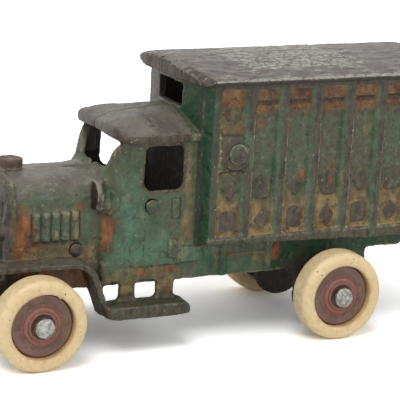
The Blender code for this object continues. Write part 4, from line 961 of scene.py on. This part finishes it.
# Each rivet's node, its place in y and z, how far out its heads sit, their radius, its
# slot, and the coats that differ from a rivet's usual ones. Each head is worn on one side.
usual = {"primer": 0.3, "ochre": 0.3, "deep": 0.3, "pale": 0.3, "olive": 0.5, "stain": 0.5}
for node, (y, z), reach, head, slot_name, levels in (
    ("hood_rivet", (-40.7, 28.8), 12.5, 1.8, "worn_cast_iron", {"bare": 0.62, "teal": 0.3, "primer": 0.42}),
    ("cab_rivet", (-20.3, 40.3), 15.8, 1.9, "green_paint_on_iron", {"bare": 0.34, "teal": 0.58}),
    ("front_van_rivet", FRONT_BOSS, 21.4, 2.8, "green_paint_on_iron", {"bare": 0.46, "teal": 0.66}),
    ("rear_van_rivet", (61.6, 54.8), 21.4, 2.8, "green_paint_on_iron",
     {"bare": 0.52, "teal": 0.5, "primer": 0.44}),
):
    rivet = pin(node + "_hammered", y, z, reach + HEAD_GAP, RIVET_SHANK, head,
                RIVET_HEIGHT, RIVET_CROWN, RIVET_STEPS)
    hammered(rivet, depth=0.07, size=1.1, seed=3)
    levels["bare"] += 0.34 * patch_of(rivet, y + 1.2, z - 1.3, 1.7)
    wear(rivet, **{**usual, **levels})
    finish_piece(rivet, enamel, "body", slot_name, node)

# Axles: plain steel wire, cut to length and peened over at both ends once the wheels were
# on. The hammer left each head low, uneven and bright, with a burr round its rim.
AXLES = {"front": (-54.8, 12.7), "rear": (35.2, 12.7)}     # y and z
AXLE_SHANK = 1.6                # radius
AXLE_HEAD = 2.75                # radius
AXLE_HEIGHT = 1.7               # of each head
AXLE_CROWN = 0.42               # share of that height that is domed
AXLE_STEPS = 48
HEAD_REACH = 26.6               # from the centre plane to each head

# Peened steel: bright where the hammer met it, brown in the pocks between its marks, and
# darkened with painted shade in the corner under the rim.
steel, place = start_material("peened_steel")
dent = add(steel, "TexNoise", {
    "Vector": place, "Scale": per_metre(1.3), "Detail": 3.0, "Roughness": 0.55,
}, "Fac")
grit = add(steel, "TexNoise", {
    "Vector": place, "Scale": per_metre(0.5), "Detail": 4.0, "Roughness": 0.6,
}, "Fac")
pock = add(steel, "TexVoronoi", {"Vector": place, "Scale": per_metre(1.0)}, "Distance")
pock = add(steel, "Math", {0: 0.60, 1: pock}, operation="SUBTRACT")
tone = add(steel, "Mix", {
    0: worn_to(steel, dent, grit, 0.14), 6: srgb("#8a8880"), 7: srgb("#c4c4bb"),
}, 2, data_type="RGBA")
tone = add(steel, "Mix", {
    0: worn_to(steel, pock, grit, 0.10, 0.7), 6: tone, 7: srgb("#544c46"),
}, 2, data_type="RGBA")
corner = add(steel, "Attribute", {}, "Fac", attribute_name="shade")
tone = add(steel, "Mix", {0: corner, 6: tone, 7: srgb("#2c2723")}, 2, data_type="RGBA")
add(steel, "OutputMaterial", {"Surface": add(steel, "BsdfPrincipled", {
    "Base Color": tone, "Metallic": 0.85,
    "Roughness": add(steel, "MapRange", {
        "Value": grit, "From Min": 0.3, "From Max": 0.7, "To Min": 0.30, "To Max": 0.50,
    }),
    "Normal": add(steel, "Bump", {
        "Height": add(steel, "Math", {0: dent, 1: grit}, operation="ADD"),
        "Strength": 0.6, "Distance": 0.25 * MM,
    }),
})})


def on_heads(points):
    """1 on an axle's heads, 0 along its wire."""
    return step_up(np.abs(points[:, 0]), HEAD_REACH + 0.3, HEAD_REACH + 0.7)


for end, (y, z) in AXLES.items():
    axle = pin(end + "_axle_peened", y, z, HEAD_REACH, AXLE_SHANK, AXLE_HEAD,
               AXLE_HEIGHT, AXLE_CROWN, AXLE_STEPS)
    hammered(axle, depth=0.16, size=1.7, seed=4, share=on_heads)
    wear(axle)
    finish_piece(axle, steel, end + "_axle", "peened_steel", end + "_axle")

# Hubs: four small iron discs with a raised boss outside and a collar inside, dipped in
# maroon. They turn loose on the axles, and their steps are rubbed to red and bare grey.
WHEEL_PLACE = 23.2              # middle of each wheel from the centre plane
WHEEL_STEPS = 96

# Maroon enamel on iron: a thin dusty coat, duller in clouds, browned by dirt in patches,
# redder where a step is rubbed, and darkened with painted shade in the corners.
maroon, place = start_material("maroon_enamel_on_iron")
broad = add(maroon, "TexNoise", {
    "Vector": place, "Scale": per_metre(5.0), "Detail": 4.0, "Distortion": 0.5,
}, "Fac")
fine = add(maroon, "TexNoise", {
    "Vector": place, "Scale": per_metre(1.1), "Detail": 4.0, "Roughness": 0.65,
}, "Fac")
speck = add(maroon, "TexNoise", {"Vector": place, "Scale": per_metre(0.4), "Detail": 2.0}, "Fac")
tone = srgb("#70524a")
for name, breakup, soft, most, shown in (
    ("dull", broad, 0.14, 1.0, "#856a5c"),
    ("grime", fine, 0.14, 0.9, "#6b5644"),
    ("red", fine, 0.14, 0.9, "#8c4a3c"),
    ("edge", fine, 0.16, 0.6, "#8f6d61"),
    ("shade", speck, 0.20, 0.8, "#35221d"),
):
    cover = add(maroon, "Attribute", {}, "Fac", attribute_name=name)
    left = worn_to(maroon, cover, breakup, soft, most)
    tone = add(maroon, "Mix", {0: left, 6: tone, 7: srgb(shown)}, 2, data_type="RGBA")
add(maroon, "OutputMaterial", {"Surface": add(maroon, "BsdfPrincipled", {
    "Base Color": tone, "Specular IOR Level": 0.4,
    "Roughness": add(maroon, "MapRange", {
        "Value": fine, "From Min": 0.3, "From Max": 0.7, "To Min": 0.34, "To Max": 0.58,
    }),
    "Normal": add(maroon, "Bump", {
        "Height": add(maroon, "Math", {0: fine, 1: speck}, operation="ADD"),
        "Strength": 0.5, "Distance": 0.15 * MM,
    }),
})})


def radius_of(piece, y, z):
    """How far each vertex of a turned piece lies from its axis."""
    points = coordinates(piece.data)[0]
    return np.hypot(points[:, 1] - y, points[:, 2] - z)


# Half the hub's section, from the bore over its outer face to the rim, and back over its
# inner face and the collar: across from the wheel's middle, and the radius.
HUB_OUTLINE = (
    [(0.2, 1.9), (2.2, 1.9), (2.35, 2.3), (2.45, 3.1), (2.9, 3.35)]
    + bow(2.75, 3.75, 0.35, 0, 90, 3) + [(2.7, 4.7)] + bow(2.2, 4.9, 0.4, 60, 90, 2)
    + [(2.12, 5.5), (1.9, 6.1), (1.95, 7.4)] + bow(1.6, 8.1, 0.5, 20, 90, 4)
    + bow(-1.6, 8.1, 0.5, 90, 180, 4) + [(-2.1, 3.2), (-10.1, 3.2), (-10.1, 1.9)]
)
for end, (y, z) in AXLES.items():
    for side, sign in (("left", 1), ("right", -1)):
        outline = [(sign * (WHEEL_PLACE + across), radius) for across, radius in HUB_OUTLINE]
        hub = turned(f"{end}_{side}_disc", outline, y, z, WHEEL_STEPS, ring=True)
        hammered(hub, depth=0.06, size=1.8, seed=5)
        hammered(hub, depth=0.03, size=0.7, seed=6)
        radius = radius_of(hub, y, z)
        red = 0.30 + 0.26 * between(radius, 3.4, 5.8, 0.5) + 0.12 * step_up(radius, 7.8, 8.3)
        grime = 0.38 + 0.16 * patch_of(hub, y - 2.0, z + 4.5, 3.5)
        grime += 0.12 * patch_of(hub, y + 5.0, z - 4.0, 4.0)
        wear(hub, rounds=3, red=red, grime=grime, dull=0.5)
        finish_piece(hub, maroon, f"{end}_{side}_wheel", "maroon_hub_paint", f"{end}_{side}_hub")

# Tyres: four moulded white rubber rings, stretched over the hubs. Age has turned them to
# a waxy cream, with fine pits, scuffs and a few stains in the sides, and they are darker
# by the hub as painted shade where the tyre turns in.
# Aged white rubber: a cream with a little light under its skin, browner on the scuffed
# tread, with painted shade by the hub, dark pits and a faint sheen.
rubber, place = start_material("aged_white_rubber")
broad = add(rubber, "TexNoise", {
    "Vector": place, "Scale": per_metre(7.0), "Detail": 3.0, "Distortion": 0.3,
}, "Fac")
scuff = add(rubber, "TexNoise", {
    "Vector": place, "Scale": per_metre(1.5), "Detail": 5.0, "Roughness": 0.6,
}, "Fac")
speck = add(rubber, "TexNoise", {"Vector": place, "Scale": per_metre(0.45), "Detail": 2.0}, "Fac")
holes = add(rubber, "TexVoronoi", {"Vector": place, "Scale": per_metre(2.2)}, "Distance")
holes = add(rubber, "Math", {0: holes, 1: scuff}, operation="ADD")
hole = add(rubber, "MapRange", {
    "Value": holes, "From Min": 0.48, "From Max": 0.53, "To Min": 1.0, "To Max": 0.0,
})
tone = add(rubber, "Mix", {0: broad, 6: srgb("#dfc08c"), 7: srgb("#f0dcb0")}, 2, data_type="RGBA")
for name, soft, most, shown in (("inner", 0.22, 0.8, "#c9a674"), ("scuffed", 0.14, 0.5, "#c4b08a")):
    cover = add(rubber, "Attribute", {}, "Fac", attribute_name=name)
    left = worn_to(rubber, cover, scuff, soft, most)
    tone = add(rubber, "Mix", {0: left, 6: tone, 7: srgb(shown)}, 2, data_type="RGBA")
tone = add(rubber, "Mix", {0: hole, 6: tone, 7: srgb("#5f4a30")}, 2, data_type="RGBA")
rough = add(rubber, "Math", {0: scuff, 1: speck}, operation="ADD")
rough = add(rubber, "Math", {0: hole, 1: -0.8, 2: rough}, operation="MULTIPLY_ADD")
add(rubber, "OutputMaterial", {"Surface": add(rubber, "BsdfPrincipled", {
    "Base Color": tone,
    "Subsurface Weight": 0.08, "Subsurface Radius": (2.0 * MM, 1.2 * MM, 0.6 * MM), "Subsurface Scale": 1.0,
    "Roughness": add(rubber, "MapRange", {
        "Value": scuff, "From Min": 0.3, "From Max": 0.7, "To Min": 0.34, "To Max": 0.50,
    }),
    "Normal": add(rubber, "Bump", {"Height": rough, "Strength": 0.35, "Distance": 0.12 * MM}),
})})

# The tyre's section, round its tread and its two shoulders to the bore, in the same way.
TYRE_OUTLINE = (
    bow(2.0, 10.9, 1.8, 0, 90, 8) + bow(-2.0, 10.9, 1.8, 90, 180, 8)
    + bow(-3.2, 9.5, 0.6, 180, 270, 3) + [(-2.2, 8.93), (2.2, 8.93)] + bow(3.2, 9.5, 0.6, 270, 360, 3)
)
for end, (y, z) in AXLES.items():
    for side, sign in (("left", 1), ("right", -1)):
        outline = [(sign * WHEEL_PLACE + across, radius) for across, radius in TYRE_OUTLINE]
        tyre = turned(f"{end}_{side}_ring", outline, y, z, WHEEL_STEPS, ring=True)
        hammered(tyre, depth=0.07, size=5.0, seed=7)
        hammered(tyre, depth=0.02, size=1.2, seed=8)
        radius = radius_of(tyre, y, z)
        # painted shade by the hub, where the tyre turns in
        store(tyre.data, "inner", 0.66 - 0.36 * step_up(radius, 8.9, 9.9))
        store(tyre.data, "scuffed", 0.28 + 0.14 * step_up(radius, 12.2, 12.7))
        finish_piece(tyre, rubber, f"{end}_{side}_wheel", "cream_rubber", f"{end}_{side}_tyre")

# Studio: a pale floor that runs out of sight, soft light from above and the front, and a
# long lens at the height that shows the truck's left side and a little of its roof.
CAMERA_PLACE = Vector((0.449828, -0.223252, 0.168491))
CAMERA_AZIMUTH = math.radians(63.395)
CAMERA_DROP = math.radians(14.711)
CAMERA_ROLL = math.radians(3.014)
LENS = 165.09                   # millimetres, on a sensor 36 mm wide
FLOOR_SIZE = 6.0                # metres, as is the camera's place

camera = bpy.data.objects.new("camera", bpy.data.cameras.new("camera"))
camera.data.lens = LENS
camera.data.sensor_width = 36
camera.data.clip_start = 0.01
camera.data.clip_end = 20
ahead = Vector((
    -math.sin(CAMERA_AZIMUTH) * math.cos(CAMERA_DROP),
    math.cos(CAMERA_AZIMUTH) * math.cos(CAMERA_DROP),
    -math.sin(CAMERA_DROP),
))
level = Vector((math.cos(CAMERA_AZIMUTH), math.sin(CAMERA_AZIMUTH), 0))
turn = Matrix((level, level.cross(ahead), -ahead)).transposed().to_4x4()
camera.matrix_world = Matrix.Translation(CAMERA_PLACE) @ turn @ Matrix.Rotation(CAMERA_ROLL, 4, "Z")
bpy.context.scene.collection.objects.link(camera)
bpy.context.scene.camera = camera

floor_bm = bmesh.new()
bmesh.ops.create_grid(floor_bm, x_segments=1, y_segments=1, size=FLOOR_SIZE / 2)
floor = new_piece("floor", floor_bm)

# White paper: matt and evenly pale. Only the camera sees the lift that takes it to white.
paper, place = start_material("white_paper")
seen = add(paper, "LightPath", {}, "Is Camera Ray")
grain = add(paper, "TexNoise", {"Vector": place, "Scale": per_metre(40)}, "Fac")
tone = add(paper, "Mix", {0: grain, 6: srgb("#f1f2f3"), 7: srgb("#f5f5f6")}, 2, data_type="RGBA")
matt = add(paper, "BsdfDiffuse", {"Color": tone})
dark = add(paper, "BsdfDiffuse", {"Color": (0, 0, 0, 1)})
lift = add(paper, "BsdfDiffuse", {"Color": srgb("#f0f0f0")})
only_seen = add(paper, "MixShader", {0: seen, 1: dark, 2: lift})
add(paper, "OutputMaterial", {"Surface": add(paper, "AddShader", {0: matt, 1: only_seen})})
floor.data.materials.append(paper)

world = bpy.data.worlds.new("studio")
bpy.context.scene.world = world
world.use_nodes = True
world.node_tree.nodes.clear()
direct = 0.0
for ray in ("Is Camera Ray", "Is Glossy Ray", "Is Transmission Ray"):
    direct = add(world, "Math", {0: direct, 1: add(world, "LightPath", {}, ray)}, operation="MAXIMUM")
room = add(world, "Background", {"Color": (1, 1, 1, 1), "Strength": 0.60})
white = add(world, "Background", {"Color": (1, 1, 1, 1), "Strength": 1.0})
add(world, "OutputWorld", {"Surface": add(world, "MixShader", {0: direct, 1: room, 2: white})})

for name, direction, power, spread in (
    ("key_light", (0.30, -0.35, 1.0), 1.20, 35),
    ("fill_light", (1.0, 0.25, 0.45), 0.35, 60),
):
    lamp = bpy.data.objects.new(name, bpy.data.lights.new(name, "SUN"))
    lamp.data.energy = power
    lamp.data.angle = math.radians(spread)
    lamp.matrix_world = Vector(direction).to_track_quat("Z", "Y").to_matrix().to_4x4()
    bpy.context.scene.collection.objects.link(lamp)

bpy.context.scene.view_settings.view_transform = "Standard"
